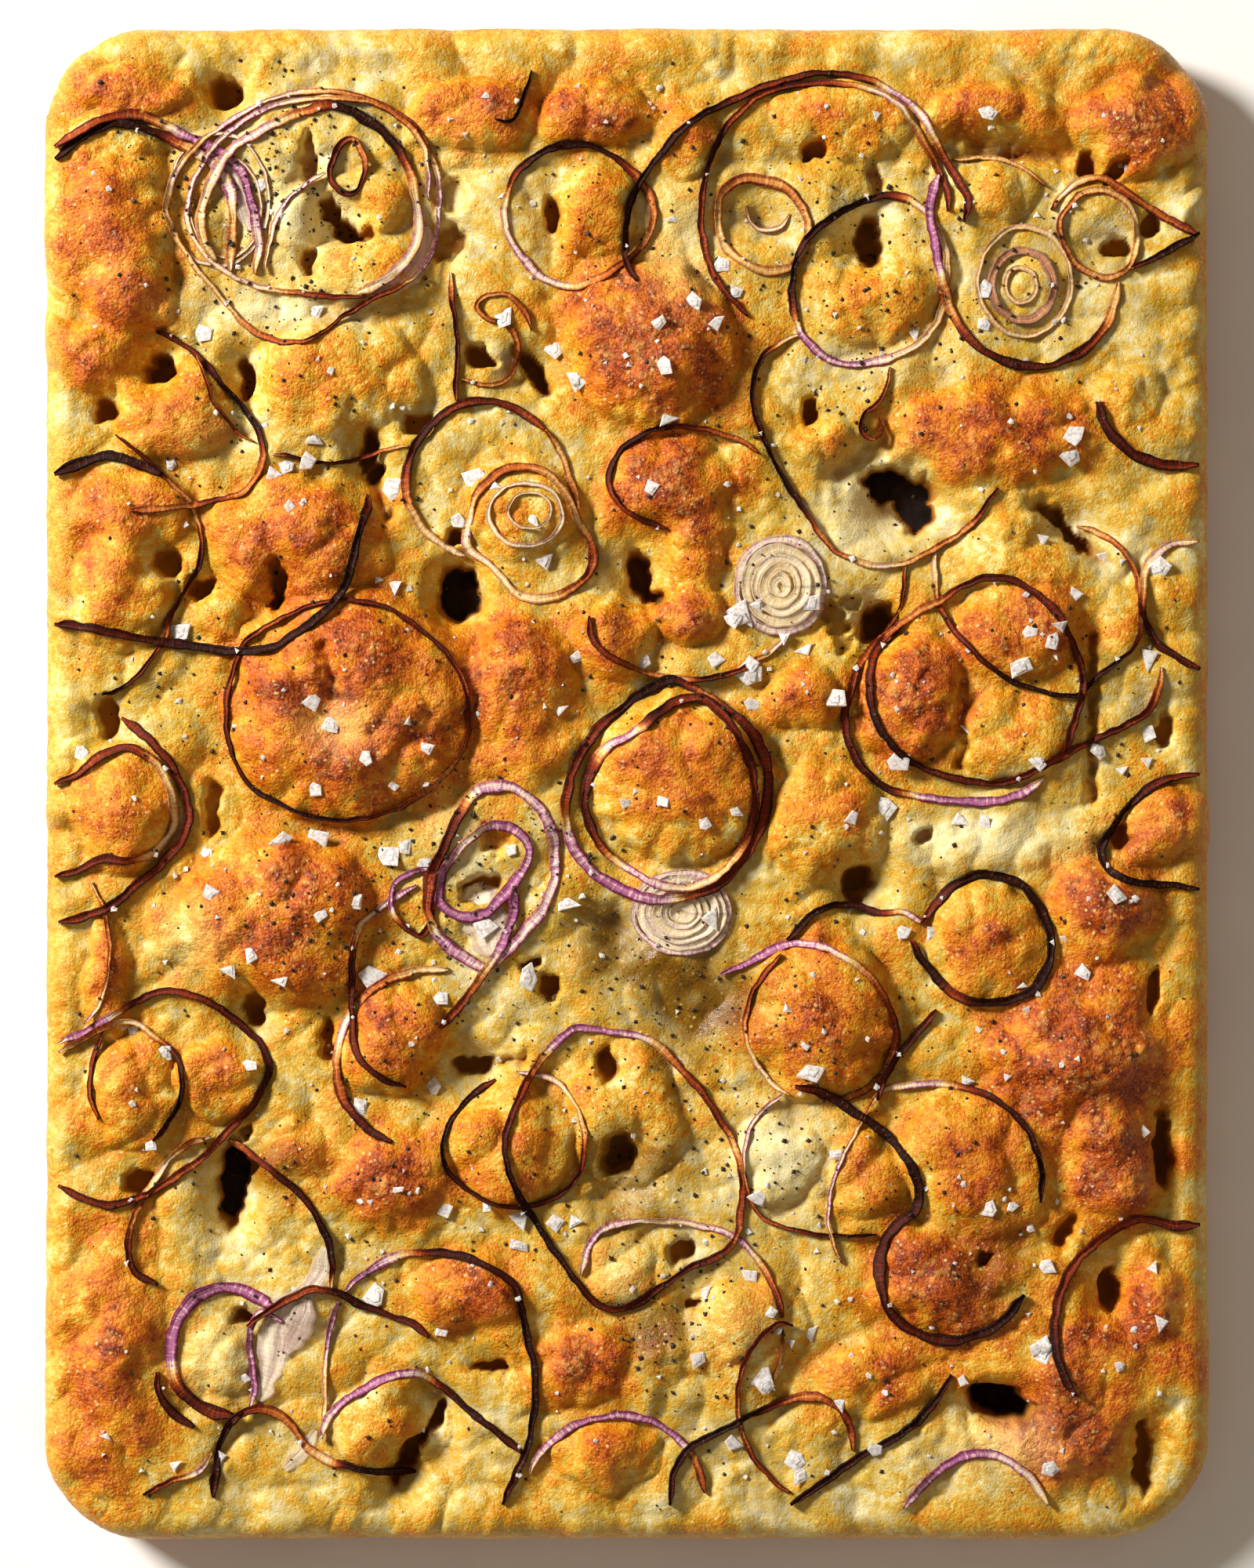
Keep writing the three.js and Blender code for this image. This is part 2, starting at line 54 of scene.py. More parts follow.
# ---------------------------------------------------------------- camera, light, floor
VIEW_HEIGHT = 0.4          # metres that the long side of the frame covers, at the crust
LENS = 100.0
SENSOR = 36.0
FAR_CLIP = 10.0
CRUST_LEVEL = 0.028        # metres above the floor that the camera and the lights point at
FLOOR_HALF = 4.0           # metres from the middle of the floor to its edge
SURROUND_COLOR = (1.0, 0.82, 0.62, 1)
SURROUND_STRENGTH = 0.23
# Soft lights: name, place in metres, width in metres, watts, colour.
LIGHTS = [
    ("window", (-1.4, 0.85, 1.03), 0.51, 72.0, (1.0, 0.965, 0.9)),
    ("fill", (1.6, -1.4, 2.6), 2.2, 4.0, (1.0, 0.94, 0.84)),
]


def link(thing):
    bpy.context.scene.collection.objects.link(thing)


def make_camera():
    data = bpy.data.cameras.new("camera")
    data.lens = LENS
    data.sensor_width = SENSOR
    data.clip_end = FAR_CLIP
    camera = bpy.data.objects.new("camera", data)
    camera.location = (0, 0, CRUST_LEVEL + VIEW_HEIGHT * LENS / SENSOR)
    link(camera)
    bpy.context.scene.camera = camera


def make_light(name, location, size, power, color):
    """A round area light that points at the middle of the crust."""
    data = bpy.data.lights.new(name, "AREA")
    data.shape = "DISK"
    data.size = size
    data.energy = power
    data.color = color
    light = bpy.data.objects.new(name, data)
    light.location = location
    x, y, z = light.location
    pitch = math.atan2(math.hypot(x, y), z - CRUST_LEVEL)
    yaw = math.atan2(x, -y)
    light.rotation_euler = (pitch, 0, yaw)
    link(light)


def make_world():
    world = bpy.data.worlds.new("studio")
    world.use_nodes = True
    background = world.node_tree.nodes["Background"]
    background.inputs["Color"].default_value = SURROUND_COLOR
    background.inputs["Strength"].default_value = SURROUND_STRENGTH
    bpy.context.scene.world = world
    bpy.context.scene.view_settings.view_transform = "Standard"


make_camera()
for light_settings in LIGHTS:
    make_light(*light_settings)
make_world()

# ---------------------------------------------------------------- what lies where, in mm

# Bubbles in the crust: x, y, radius along x, radius along y, bake from 0 (pale) to 1 (dark).
BUBBLES = [
    (-134, 158, 14, 12, 0.35), (-132, 140, 14, 18, 0.55), (-128, 124, 12, 8, 0.65),
    (-116, 97, 14, 12, 0.45), (-136, 110, 10, 8, 0.6), (-75, 104, 22, 13, 0.35), (-92, 162, 8, 6, 0),
    (-85, 145, 7, 7, 0), (-67, 133, 12, 8, 0.4), (-66, 150, 9, 8, 0.25), (-128, 178, 14, 6, 0.6),
    (-40, 172, 14, 8, 0.6), (-8, 172, 14, 8, 0.8), (-8, 147, 9, 11, 0.4), (7, 112, 20, 19, 0.95),
    (15, 165, 8, 8, 0.35), (55, 170, 16, 9, 0.45), (62, 125, 15, 10, 0.25), (96, 171, 18, 8, 0.5),
    (130, 169, 14, 11, 0.8),
    (94, 153, 11, 7, 0.2), (95, 90, 24, 11, 0.65), (128, 100, 9, 8, 0.2), (50, 88, 7, 8, 0.35),
    (-128, 70, 13, 9, 0.5), (-85, 62, 20, 14, 0.7), (-130, 50, 12, 14, 0.45), (-104, 43, 7, 6, 0.25),
    (-71, 20, 28, 26, 0.8), (-28, 27, 14, 14, 0.65), (-130, -5, 12, 14, 0.5), (10, 78, 14, 11, 0.75),
    (19, 63, 7, 12, 0.55), (15, 44, 9, 7, 0.85), (-3, 38, 9, 9, 0.55), (14, 2, 19, 19, 0.55),
    (-27, 70, 12, 12, 0.3), (74, 22, 12, 15, 0.9), (100, 38, 15, 12, 0.6), (98, 12, 13, 10, 0.3),
    (103, 60, 14, 9, 0.2), (127, 41, 6, 9, 0.2), (45, 22, 9, 8, 0.6), (52, -10, 13, 14, 0.45),
    (137, -10, 8, 9, 0.75), (122, -32, 13, 12, 0.85), (92, -40, 13, 14, 0.5), (90, -16, 20, 6, 0),
    (-90, -35, 22, 20, 0.7), (-113, -37, 10, 8, 0.15), (-134, -50, 6, 14, 0.5),
    (-126, -79, 10, 13, 0.45), (-104, -75, 10, 10, 0.6), (-60, -65, 12, 12, 0.6),
    (-60, -100, 13, 11, 0.75), (-30, -93, 14, 14, 0.45), (0, -85, 13, 17, 0.25),
    (-2, -125, 7, 9, 0.2), (-40, -130, 15, 9, 0.65), (-105, -147, 9, 10, 0.15),
    (-62, -165, 14, 11, 0.4), (-12, -148, 12, 9, 0.7), (-5, -172, 12, 8, 0.45),
    (-130, -145, 11, 28, 0.55), (-85, -95, 8, 9, 0.4), (50, -60, 17, 18, 0.65), (38, -96, 10, 10, 0),
    (62, -100, 9, 10, 0.5), (90, -98, 17, 18, 0.5), (76, -127, 12, 13, 0.95), (115, -70, 20, 14, 1.0),
    (125, -97, 12, 12, 0.8), (118, -145, 10, 12, 0.4), (135, -135, 9, 12, 0.6),
    (110, -165, 14, 10, 0.85), (65, -153, 14, 8, 0.45), (30, -140, 14, 12, 0.2),
]

# Finger dimples: x, y, radius along x, radius along y, depth.
DIMPLES = [
    (70, 73, 9, 8, 14), (-43.5, 49.5, 7, 8, 12), (-102, -105, 6, 11, 11), (96, -159, 9, 6, 10),
    (-50, -164, 6, 10, 9), (-58, -177, 6, 8, 9), (-73, 146, 7, 7, 8), (62, 140, 6, 8, 8),
    (60, -26, 7, 7, 9), (65, 41, 7, 7, 9), (114, 65, 9, 6, 7), (-104, 178, 6, 6, 7),
    (-120, 107, 7, 6, 8), (-98, 104, 5, 7, 7), (-66, 83, 5, 9, 6), (-90, 51, 5, 8, 4),
    (-24, 107, 8, 6, 6), (3, 52, 6, 9, 7), (-2, -97, 8, 9, 6), (-40, -73, 9, 6, 6),
    (-96, -58, 6, 8, 6), (138, -94, 5, 12, 6), (133, -173, 6, 11, 6), (18, -56, 10, 11, 4),
    (-3, -37, 7, 9, 5), (35, 146, 9, 8, 4), (-75, 19, 7, 8, 4.5), (100, 163, 20, 5, 4),
    (124, -130, 6, 8, 6),
]

# Torn holes: x, y, two radii, turn of the first radius in degrees, depth.
HOLES = [
    (70.5, 76.6, 8.4, 3.4, -12, 13), (74, 71.4, 4, 5.4, 22, 13), (67, 76, 4, 3.4, 0, 12),
    (-43.5, 49.5, 4.8, 6, 0, 13), (-102, -103, 3.4, 9.5, 0, 12), (-98, -99, 3.4, 1.8, 35, 8),
    (96, -159, 8, 4, -20, 11), (-49.5, -163.5, 4.4, 1.6, 55, 8), (-56, -173, 7.5, 1.8, 57, 9),
    (-76.5, 147, 1.6, 4, 15, 8), (-72, 142, 5, 1.8, -30, 9), (-67.5, 141.5, 2.4, 1.6, 30, 7),
    (62.5, 140, 2.8, 6, 0, 9), (60, -25, 3.6, 3.4, 0, 9), (59, -28.5, 1.5, 2.5, 0, 8),
    (65, 41.5, 4, 4.4, 0, 10), (110, 69, 4, 1.5, -40, 8), (116, 63, 5, 1.6, -40, 8),
    (-104, 178.5, 4, 3.4, 0, 8), (-120, 107, 4, 2.8, 20, 9), (-98.5, 104, 2, 4.4, 0, 8),
    (-67, 86, 1.9, 5, -15, 9), (-64.5, 80.5, 2, 2.6, -30, 9), (-110, 50.5, 3.3, 1.8, 20, 7),
    (-118, 57, 2.6, 3.2, 0, 7), (-90, 51, 1.6, 5.5, 0, 8), (-24, 106.5, 6, 2, -50, 9),
    (-38, 110, 4, 2.2, -20, 8), (48, 163, 2.6, 1.9, -20, 7), (47, 96, 1.8, 3, 0, 7),
    (64, 155, 2.2, 3.6, 0, 4), (119, 159, 2, 2.6, 0, 7), (126, 157.5, 3, 1.4, 40, 6),
    (126, 138, 3.6, 1.6, 0, 6), (135, 144, 2.2, 2.8, 0, 6), (3.5, 53, 2.6, 6, 15, 10),
    (7, 48.5, 2.5, 1.8, 0, 9), (-2, -95, 3.6, 4.6, 0, 9), (-5, -72.5, 2.3, 3.8, 0, 8),
    (-40, -72.5, 4.8, 1.7, 5, 7), (-20, -52, 2.3, 2.8, 0, 7), (-25, -46.5, 2.8, 1.4, 20, 6),
    (-96, -58, 2.2, 3.8, 0, 7), (-125, -102.5, 3.2, 2.2, 0, 6), (124, -130, 2.2, 4.6, 0, 8),
    (138, -94, 2.2, 8.5, 0, 8), (133, -173, 1.8, 8.5, 0, 7), (-34.5, -150, 3.8, 1.4, 0, 6),
    (14, -120, 3.2, 2.7, 0, 6), (-47, 139.5, 4.6, 3.6, 0, 5), (-45, 151, 3.3, 3.8, 0, 3),
    (-82, 161, 2, 5.5, 0, 4), (-82, 135, 2.2, 2.8, 0, 5), (-53.5, 92.5, 2.8, 2.3, 0, 6),
    (-19.5, 146, 1.8, 4.2, 0, 6), (-134, 96, 2.6, 2.6, 0, 7), (-133.5, 17, 2.5, 4.5, 0, 6),
    (-44, 63.5, 2, 2, 0, 7), (53, 44, 2.4, 2.2, 0, 4), (54.5, 40, 2.2, 2.4, 0, 4),
    (56, 36, 2, 2.2, 0, 3), (57.5, 47, 2, 1.8, 0, 3), (138, 14, 1.6, 3.8, 0, 5),
    (-107, -6, 2.2, 6.5, 0, 5), (-77, -66, 1.4, 4.6, 0, 5), (76, -13, 2.5, 1.7, 0, 4),
    (135, -53, 1.4, 4.6, 0, 6), (127, -14, 2.2, 2.8, 0, 5), (-99, -137, 2.5, 1.4, 0, 5),
    (-98.5, -90, 1.5, 1.5, 0, 4), (17, -134, 1.8, 1.4, 0, 4), (91.5, -121.5, 1.5, 1.5, 0, 4),
    (-38, -27, 4.5, 3, 20, 6), (-34, -14, 3, 3.5, 0, 4), (76, 26, 1.2, 3.8, -20, 0.8),
]

# Creases between bubbles: from x, y, to x, y, half-width, depth.
CREASES = [
    (86, 25, 86, 5, 1.2, 2.0), (119.5, 38, 119.5, -4, 1.4, 2.5), (114, -112, 112, -118, 1.4, 4),
    (-40, -72.5, -27, -71, 1.3, 2.5), (55, 80, 67, 88, 3.5, 2.5), (-77, 35, -75, 23, 2.0, 1.9),
    (85, 167, 112, 161, 2.5, 2.5), (-66, 83, -62, 70, 2, 2.5), (107, 71, 121, 59, 2.2, 2.5),
]

# Oil-soaked places: x, y, two radii, amount.
OIL_POOLS = [
    (-50, 36, 8, 14, 0.3), (-56, 52, 9, 9, 0.3), (60, 70, 12, 14, 0.3), (50, -30, 14, 8, 0.3),
    (130, 20, 10, 10, 0.6), (-75, 158, 10, 12, 0.6), (110, -2, 12, 6, 0.5), (103, 163, 20, 5, 0.6),
    (-72, -116, 12, 12, 0.6), (-48, -132, 10, 14, 0.5),
]

# The deepest, darkest pools of oil in deep valleys, darkened further with painted shade: x, y, two
# radii, amount.
SHADED_OIL_POOLS = [
    (19, -56, 13, 13, 1.0), (9, -46, 20, 7, 1.0), (-6, -38, 8, 8, 0.7), (8, -141, 8, 9, 1.0),
    (1, -99, 12, 10, 0.8), (-90, -98, 10, 9, 0.5), (-4, -110, 8, 6, 0.6), (94, -122, 9, 12, 0.7),
]

# Places where the dough stayed pale: x, y, two radii, amount.
PALE_PATCHES = [
    (38, -96, 11, 11, 1.0), (95, -14, 22, 6, 0.8), (-85, 145, 12, 14, 0.7), (64, 78, 10, 8, 0.7),
    (58, 66, 10, 8, 0.7), (-74, 15, 8, 6, 0.45), (-90, 122, 20, 5, 0.8), (-44, 152, 7, 12, 0.3),
    (-105, -147, 9, 10, 0.5), (-2, -125, 6, 7, 0.4), (30, -140, 12, 10, 0.2), (95, -170, 14, 8, 0.6),
    (64, 108, 14, 5, 0.4), (15, 138, 10, 12, 0.5), (-100, 88, 14, 6, 0.2), (-45, -12, 8, 8, 0.4),
    (-113, -40, 9, 8, 0.4),
]

# Broad parts of the crust that browned more: x, y, two radii, amount.
WELL_BAKED = [
    (120, -75, 22, 34, 0.27), (112, -150, 34, 28, 0.3), (-135, -160, 20, 40, 0.2),
    (98, 88, 30, 12, 0.17), (-62, -102, 24, 12, 0.2), (-28, 18, 16, 26, 0.18),
    (5, -150, 26, 10, 0.16), (-88, 95, 34, 12, 0.06), (-85, -35, 26, 24, 0.07),
    (-130, 60, 14, 20, 0.06), (110, 30, 22, 26, 0.07), (90, -130, 16, 14, 0.3), (78, 170, 22, 13, 0.02),
    (-30, -130, 20, 12, 0.14), (55, -12, 16, 20, 0.04), (10, 75, 14, 18, 0.12),
]

# Onion rings, the lowest first: name, whether the ring is still whole, width, then its course as x, y
# and roast: 0 purple, 1 pale, 2 golden, 3 brown, 4 charred. The onion_ring pieces stand for the nodes
# of the same name; the strands have no node.
ONIONS = [
    ("onion_strand_01", False, 2, [(-107, -90.5, 1), (-113, -92.5, 2), (-118, -97, 1),
     (-121.5, -102, 1), (-125, -107.5, 2), (-127.5, -114, 2), (-127.8, -120, 3),
     (-125.5, -125.5, 3.4), (-120, -128, 3.2)]),
    ("onion_ring_01", False, 2.2, [(-146, -66.5, 1), (-140, -64, 0), (-133, -60, 0.4),
     (-127, -56.5, 3), (-120, -53.3, 3), (-112, -54, 2.8), (-105, -57.5, 3), (-99, -62.5, 3.4),
     (-94, -67, 3.4), (-92, -73.5, 3.5), (-94.5, -80, 3.2), (-98, -84.5, 3), (-103, -89.5, 2.6),
     (-108, -95, 2.6), (-114, -99.5, 2.4), (-120, -103.5, 2.6), (-127, -106.8, 3),
     (-134, -107.8, 3), (-140, -106, 3), (-146, -103, 3)]),
    ("onion_ring_02", False, 1.7, [(-146, -69, 1), (-140, -65.5, 2), (-134, -62.5, 2),
     (-127, -61, 1), (-121.5, -64.5, 1.5), (-116.5, -68.5, 3), (-114, -74, 3.8), (-114.5, -81, 4),
     (-118, -87.5, 3.6), (-121.5, -91.5, 3.2)]),
    ("onion_strand_02", False, 1.4, [(-134.5, -63.5, 2.4), (-137, -71, 2.8), (-137.7, -79, 2.6),
     (-135.5, -86, 2.4)]),
    ("onion_strand_03", False, 1.2, [(-137.5, -25, 1), (-134, -33, 2), (-132.6, -42, 2),
     (-133, -50, 1.6), (-135.5, -57, 1), (-139, -61.5, 0.4)]),
    ("onion_ring_03", False, 2.6, [(-130, 17, 2.6), (-124, 12.5, 3), (-119, 7.5, 3), (-115, 1, 3),
     (-112.6, -6, 3), (-114, -13.5, 2.8), (-119, -20, 2.8), (-126, -26, 3), (-132, -31, 3.2),
     (-139, -34, 3), (-146, -35.5, 3)]),
    ("onion_ring_04", False, 2.4, [(-147, 0, 2.6), (-141, 2.5, 3), (-136, 6.5, 2.6),
     (-130.5, 9.2, 3), (-125, 8.3, 2.6), (-120, 4.5, 1.4), (-117, -2, 1.2), (-116, -9, 1.2),
     (-118.5, -14.5, 1), (-123, -18.5, 1.4), (-128.5, -19.7, 2.8), (-134, -19, 3.2),
     (-140, -21.8, 3), (-147, -23.8, 3)]),
    ("onion_strand_04", False, 1.1, [(-91, 84.5, 1), (-86, 84, 3.4), (-80, 82.6, 3.6),
     (-74, 82.6, 3.4), (-68, 84, 2.8), (-62, 86, 1.8), (-56, 87, 1.4)]),
    ("onion_ring_05", True, 1.5, [(-98, 36, 3), (-92, 40.5, 2.4), (-85, 44, 3), (-78, 46.5, 2.8),
     (-70, 47, 3), (-61, 45, 3.2), (-53, 39.5, 3.2), (-46, 33, 3.2), (-42, 26.5, 2.6),
     (-40.4, 19, 3), (-41, 11, 2.4), (-45, 4, 1.8), (-51, -1.5, 2), (-58, -6, 2.6),
     (-66, -8.5, 2.8), (-74, -9.4, 3.7), (-82, -8, 4), (-89, -5, 4), (-95, -2, 3.8),
     (-99.5, 3, 3.4), (-102, 10, 3.4), (-103, 18, 3), (-101.5, 27, 2.8)]),
    ("onion_strand_05", False, 1.4, [(-131, 89.5, 3), (-126, 85.5, 3.2), (-121, 81, 3),
     (-116.5, 76.5, 2), (-112.5, 73, 1.6), (-110.5, 68, 1.6), (-109.3, 62, 2.8), (-110, 56.5, 3.4),
     (-113.5, 50, 3.2), (-117, 43.5, 3), (-118.5, 38, 2), (-121.5, 33, 2.8), (-126, 27.5, 3.2),
     (-131, 24, 3.6), (-135, 23, 4)]),
    ("onion_ring_06", False, 3.2, [(-147, 79.5, 3.6), (-140, 82.5, 4), (-133, 84.3, 4),
     (-126, 82.3, 3.9), (-119, 79.5, 3.8)]),
    ("onion_ring_07", False, 1.9, [(-127, 70, 2.4), (-119, 70.5, 2), (-112, 71.5, 2),
     (-106, 72.8, 2.8), (-99, 74.5, 2), (-95, 79, 2), (-93.3, 85, 2.2), (-95, 91, 4), (-98, 96, 4),
     (-102, 100.5, 4), (-106, 105, 3.6), (-111, 110.5, 3), (-115.5, 114, 3.2), (-121, 116.3, 3.3)]),
    ("onion_strand_06", False, 1, [(-110.5, 110, 1.6), (-108, 104, 2.4), (-106, 98, 2.4),
     (-103, 94, 2.8), (-99.5, 90, 2.4), (-95.5, 87.5, 2)]),
    ("onion_ring_08", False, 2.8, [(-147, 41, 3.4), (-140, 40.5, 3.6), (-132, 38.7, 3.4),
     (-121, 36.7, 3.6), (-110, 35.2, 4), (-100, 34, 4), (-92, 34.7, 4), (-86, 37.5, 3.8),
     (-80, 41.7, 4), (-75, 46.3, 4), (-72, 51, 4), (-70, 58, 4), (-68.3, 65, 4), (-66.6, 71, 3.2),
     (-66.5, 74.5, 2)]),
    ("onion_ring_09", False, 2, [(-12, -126, 1), (-9.5, -118, 0.4), (-5.5, -114, 0.6),
     (0, -112.4, 0.6), (8, -112.3, 1), (17, -113, 0.8), (25, -115, 0.6), (30, -118, 0.4),
     (34.5, -123.5, 1.6), (38, -130, 2.6), (40, -136.5, 2.6)]),
    ("onion_strand_07", False, 1.5, [(42.5, -138.5, 3.4), (39, -138, 3), (35.5, -140, 2.8),
     (32, -144, 2.6), (29.5, -150, 2.4), (28.2, -157, 2.4), (29.2, -165, 2), (32, -172, 2.6),
     (36.5, -178, 2.8), (42, -182, 2.4)]),
    ("onion_strand_08", False, 0.9, [(40, -139.5, 3), (39.7, -147, 1.4), (37, -155.5, 1.2)]),
    ("onion_ring_10", False, 2.2, [(-25, -177, 1), (-22.5, -172, 0.6), (-18.5, -168, 0.3),
     (-13, -164.2, 0.2), (-7, -162.6, 0.1), (0, -162, 0.1), (7, -164, 0.1), (13.5, -168.5, 0.3),
     (17.5, -173.5, 2), (20, -182, 2.4)]),
    ("onion_ring_11", False, 2.2, [(11, -185, 3.4), (12, -177, 3.6), (15, -171.3, 3.8),
     (20, -168, 4), (26, -165, 4), (33, -161.3, 3.8), (40, -158.5, 2.6), (47, -157, 2),
     (53, -159, 2.6), (57, -164, 2.6), (58, -171, 2.2)]),
    ("onion_ring_12", False, 2.5, [(42, -185, 3.4), (51, -178.7, 4), (60, -172.5, 3.6),
     (68, -168, 4), (75, -163, 4), (80, -157, 3.8), (83.3, -151.5, 3.2)]),
    ("onion_strand_09", False, 2.6, [(71, -186, 0.6), (75, -181, 0.2), (80, -176, 0.1),
     (86, -172.5, 0.1), (93, -171.6, 0.3), (99, -174.3, 0.6), (104, -178.5, 0.8), (108, -185, 1)]),
    ("onion_ring_13", False, 1.6, [(-34, -76, 2.4), (-40, -80, 3.8), (-45, -86, 4), (-47.3, -93, 4),
     (-45.5, -99.5, 3.8), (-40, -104.5, 3.6), (-33.5, -107.5, 3.4), (-26, -108.3, 3),
     (-19, -106.3, 3.2), (-13.5, -102, 3.2), (-11, -95, 2.6), (-11.5, -87, 1.4), (-14.5, -80, 1.2),
     (-20, -75.5, 0.8), (-28, -74, 0.7)]),
    ("onion_ring_14", True, 2.2, [(-13, -62.7, 0), (-5, -63.5, 0.3), (3, -65, 0.5), (9, -68, 1.6),
     (14, -73.5, 2.4), (19, -79, 2.6), (24, -86.5, 2.8), (27.5, -93, 1.6), (29.7, -101, 2.8),
     (29.2, -109, 2.6), (27.8, -116.5, 2.2), (23.5, -121, 3), (16.5, -124, 3), (10, -128, 3.2),
     (4, -132.5, 3.4), (-2, -134.7, 3), (-7, -133.8, 3.2), (-12, -128.7, 3.6), (-18, -120.5, 4),
     (-24, -111.5, 4), (-28.7, -103, 4), (-31, -95, 3.8), (-30.5, -88, 3.4), (-27, -79, 2.8),
     (-22.5, -71.5, 2), (-18, -66, 0.2)]),
    ("onion_strand_10", False, 1.2, [(41, -79, 0.9), (35, -83.5, 0.7), (31.3, -89, 0.6),
     (29.8, -97, 1), (31, -105, 2.2), (34.5, -111, 2.2), (41, -114, 2.6), (49, -115.6, 3.2),
     (57, -116, 3.4), (64, -115.6, 3.2)]),
    ("onion_strand_11", False, 1.1, [(62, -83, 1.6), (58, -90, 1.2), (54.5, -97, 0.5),
     (52.3, -104, 0.6), (51.6, -111, 0.5), (52.8, -117.5, 1.4), (54.8, -123, 2)]),
    ("onion_strand_12", False, 1.5, [(39.5, -43.5, 2.2), (34.5, -49.5, 2.6), (31, -56.5, 2.6),
     (30.3, -64, 1.8), (32.8, -71, 1), (37.5, -77, 1), (42, -80, 1.8)]),
    ("onion_ring_15", False, 2.2, [(24, -49, 0.1), (31, -46, 0), (38.5, -42, 0.1), (46, -40.8, 0.4),
     (54, -43.5, 0.8), (61, -48, 1.8), (66, -55, 2.4), (68.8, -62, 2.6), (68.3, -69, 2.4),
     (65, -75, 2.2), (60, -79.2, 2.2), (53.5, -81.7, 2)]),
    ("onion_strand_13", False, 2.2, [(41, -40, 3.4), (45, -36, 3.8), (50, -32, 4), (57, -31, 3.8),
     (64.5, -33, 3.4), (71, -33, 0.8), (76, -35.8, 0.6)]),
    ("onion_ring_23", False, 2, [(62, -83, 1.8), (66, -78.7, 1.2), (72, -77.5, 0.7),
     (79, -76.8, 0.7), (87, -78, 2.6), (94, -80.5, 3.4), (100, -85.5, 3.6), (104, -92, 3.8),
     (106, -99, 4), (105.8, -107, 3.4)]),
    ("onion_strand_14", False, 2.4, [(79.5, -58, 2.4), (75, -63.5, 3.4), (70, -69, 3.6),
     (66.5, -74.5, 3.2), (64, -81, 3.2)]),
    ("onion_ring_16", False, 2.9, [(75.5, -36, 2.6), (80, -29.8, 3.2), (86, -24.7, 3.8),
     (92, -23.2, 4), (100, -25.2, 4), (105.5, -31, 4), (108.6, -38.5, 4), (108, -46, 4),
     (104.5, -52, 4), (98, -55.4, 4), (90, -55.9, 3.8), (84, -54, 2.6), (79.5, -49.8, 4),
     (75.5, -45, 4), (73, -40, 2.6)]),
    ("onion_ring_17", False, 3.1, [(43, -77.3, 3), (49, -78.7, 3.2), (55, -82, 3.8), (62, -86.5, 4),
     (68, -91.5, 4), (72.5, -97.5, 4), (74.8, -104, 4), (73.5, -109.5, 3.6), (69, -113, 3.4),
     (66, -117, 3.6), (64.6, -123, 3.3), (65.2, -130, 3.4), (68, -136, 3.4), (74, -140.5, 3.4),
     (82, -142.5, 3.6), (90, -140.8, 3.8), (96, -137, 4), (101.5, -130.5, 4)]),
    ("onion_ring_18", False, 2.8, [(147, -113, 3.4), (140, -113.3, 3.2), (133.5, -111.5, 2.8),
     (127, -113, 2.6), (121, -117, 2.8), (115, -122.5, 2.7), (110.8, -130, 2.9), (109.3, -138, 3.2),
     (109.5, -145, 3.8), (111.5, -151, 3.7), (114.5, -156, 3.2)]),
    ("onion_ring_19", False, 2.4, [(147, 2.5, 3), (138.5, 1.3, 3.2), (132, -2.5, 3.6),
     (127, -8, 3.8), (123, -14, 4), (121.8, -19, 4), (125, -23.3, 4), (132, -25.3, 4),
     (140, -26, 4), (147, -27, 3.8)]),
    ("onion_strand_15", False, 1, [(71.5, 57, 1.4), (71, 50, 2.8), (69.8, 44, 2.4), (66, 38.5, 2)]),
    ("onion_ring_20", False, 1.6, [(79.5, 60, 1), (79, 53, 1.2), (80.5, 45, 2.4), (85, 38, 3),
     (91, 31.7, 3.4), (98, 26.7, 4), (107, 23.7, 4), (115, 22.6, 4), (120, 27, 3.8),
     (126, 31.5, 3.6), (130.5, 36, 2.6), (131.7, 43, 1.8), (131.5, 50, 2), (129.5, 56.5, 2.2),
     (126, 61.3, 2.2), (121, 65, 1.6), (116, 66.5, 1.8)]),
    ("onion_ring_21", False, 2.4, [(71, 41, 2.2), (64.5, 36.5, 2.2), (60, 31, 2.4), (57.3, 24, 2.8),
     (56, 16, 3), (57.5, 9, 3.3), (61.5, 3, 3.5), (67, -1.2, 3.6), (75, -3.2, 0.6), (84, -4.3, 0),
     (94, -4.4, 0), (102, -2, 0.4), (107.5, 1.8, 1.2)]),
    ("onion_ring_22", False, 2.2, [(112, 8, 2.8), (115, 17, 3), (117, 25, 3.2), (115.5, 33, 3),
     (111.5, 41, 3), (106.5, 47, 3.2), (100, 51.5, 3.2), (93, 53, 3.4), (86.5, 50.8, 3),
     (80, 47, 2), (72, 42.5, 2), (65, 36, 2.6), (62, 27.5, 3.2), (63, 18, 3.8), (66, 12, 3.8),
     (71.5, 6.5, 3.8), (79, 3, 3.2), (88, 0.7, 3.2), (97, 0.4, 3), (105, 3.7, 2.8),
     (112.5, 7.8, 2.8), (120, 11.5, 3.2), (128, 15, 3), (134, 19, 2.8), (136.6, 25, 2),
     (137, 30, 1.6)]),
    ("onion_ring_24", False, 2.4, [(147, 62.5, 1.4), (140, 61.5, 0.8), (134.5, 57.5, 1),
     (132.3, 51, 1.6), (132.6, 43, 3.2), (136, 36.5, 3.4), (141, 32.5, 3.6), (147, 29.5, 3.2)]),
    ("onion_ring_25", False, 3.2, [(120.5, 98, 3.2), (122.5, 92, 3.4), (127, 86.5, 3.6),
     (133, 83.2, 3.2), (139, 81.7, 3), (147, 82, 3)]),
    ("onion_ring_26", False, 1.7, [(45, 115.5, 1.2), (39.5, 113.5, 1.4), (35, 110, 3.2),
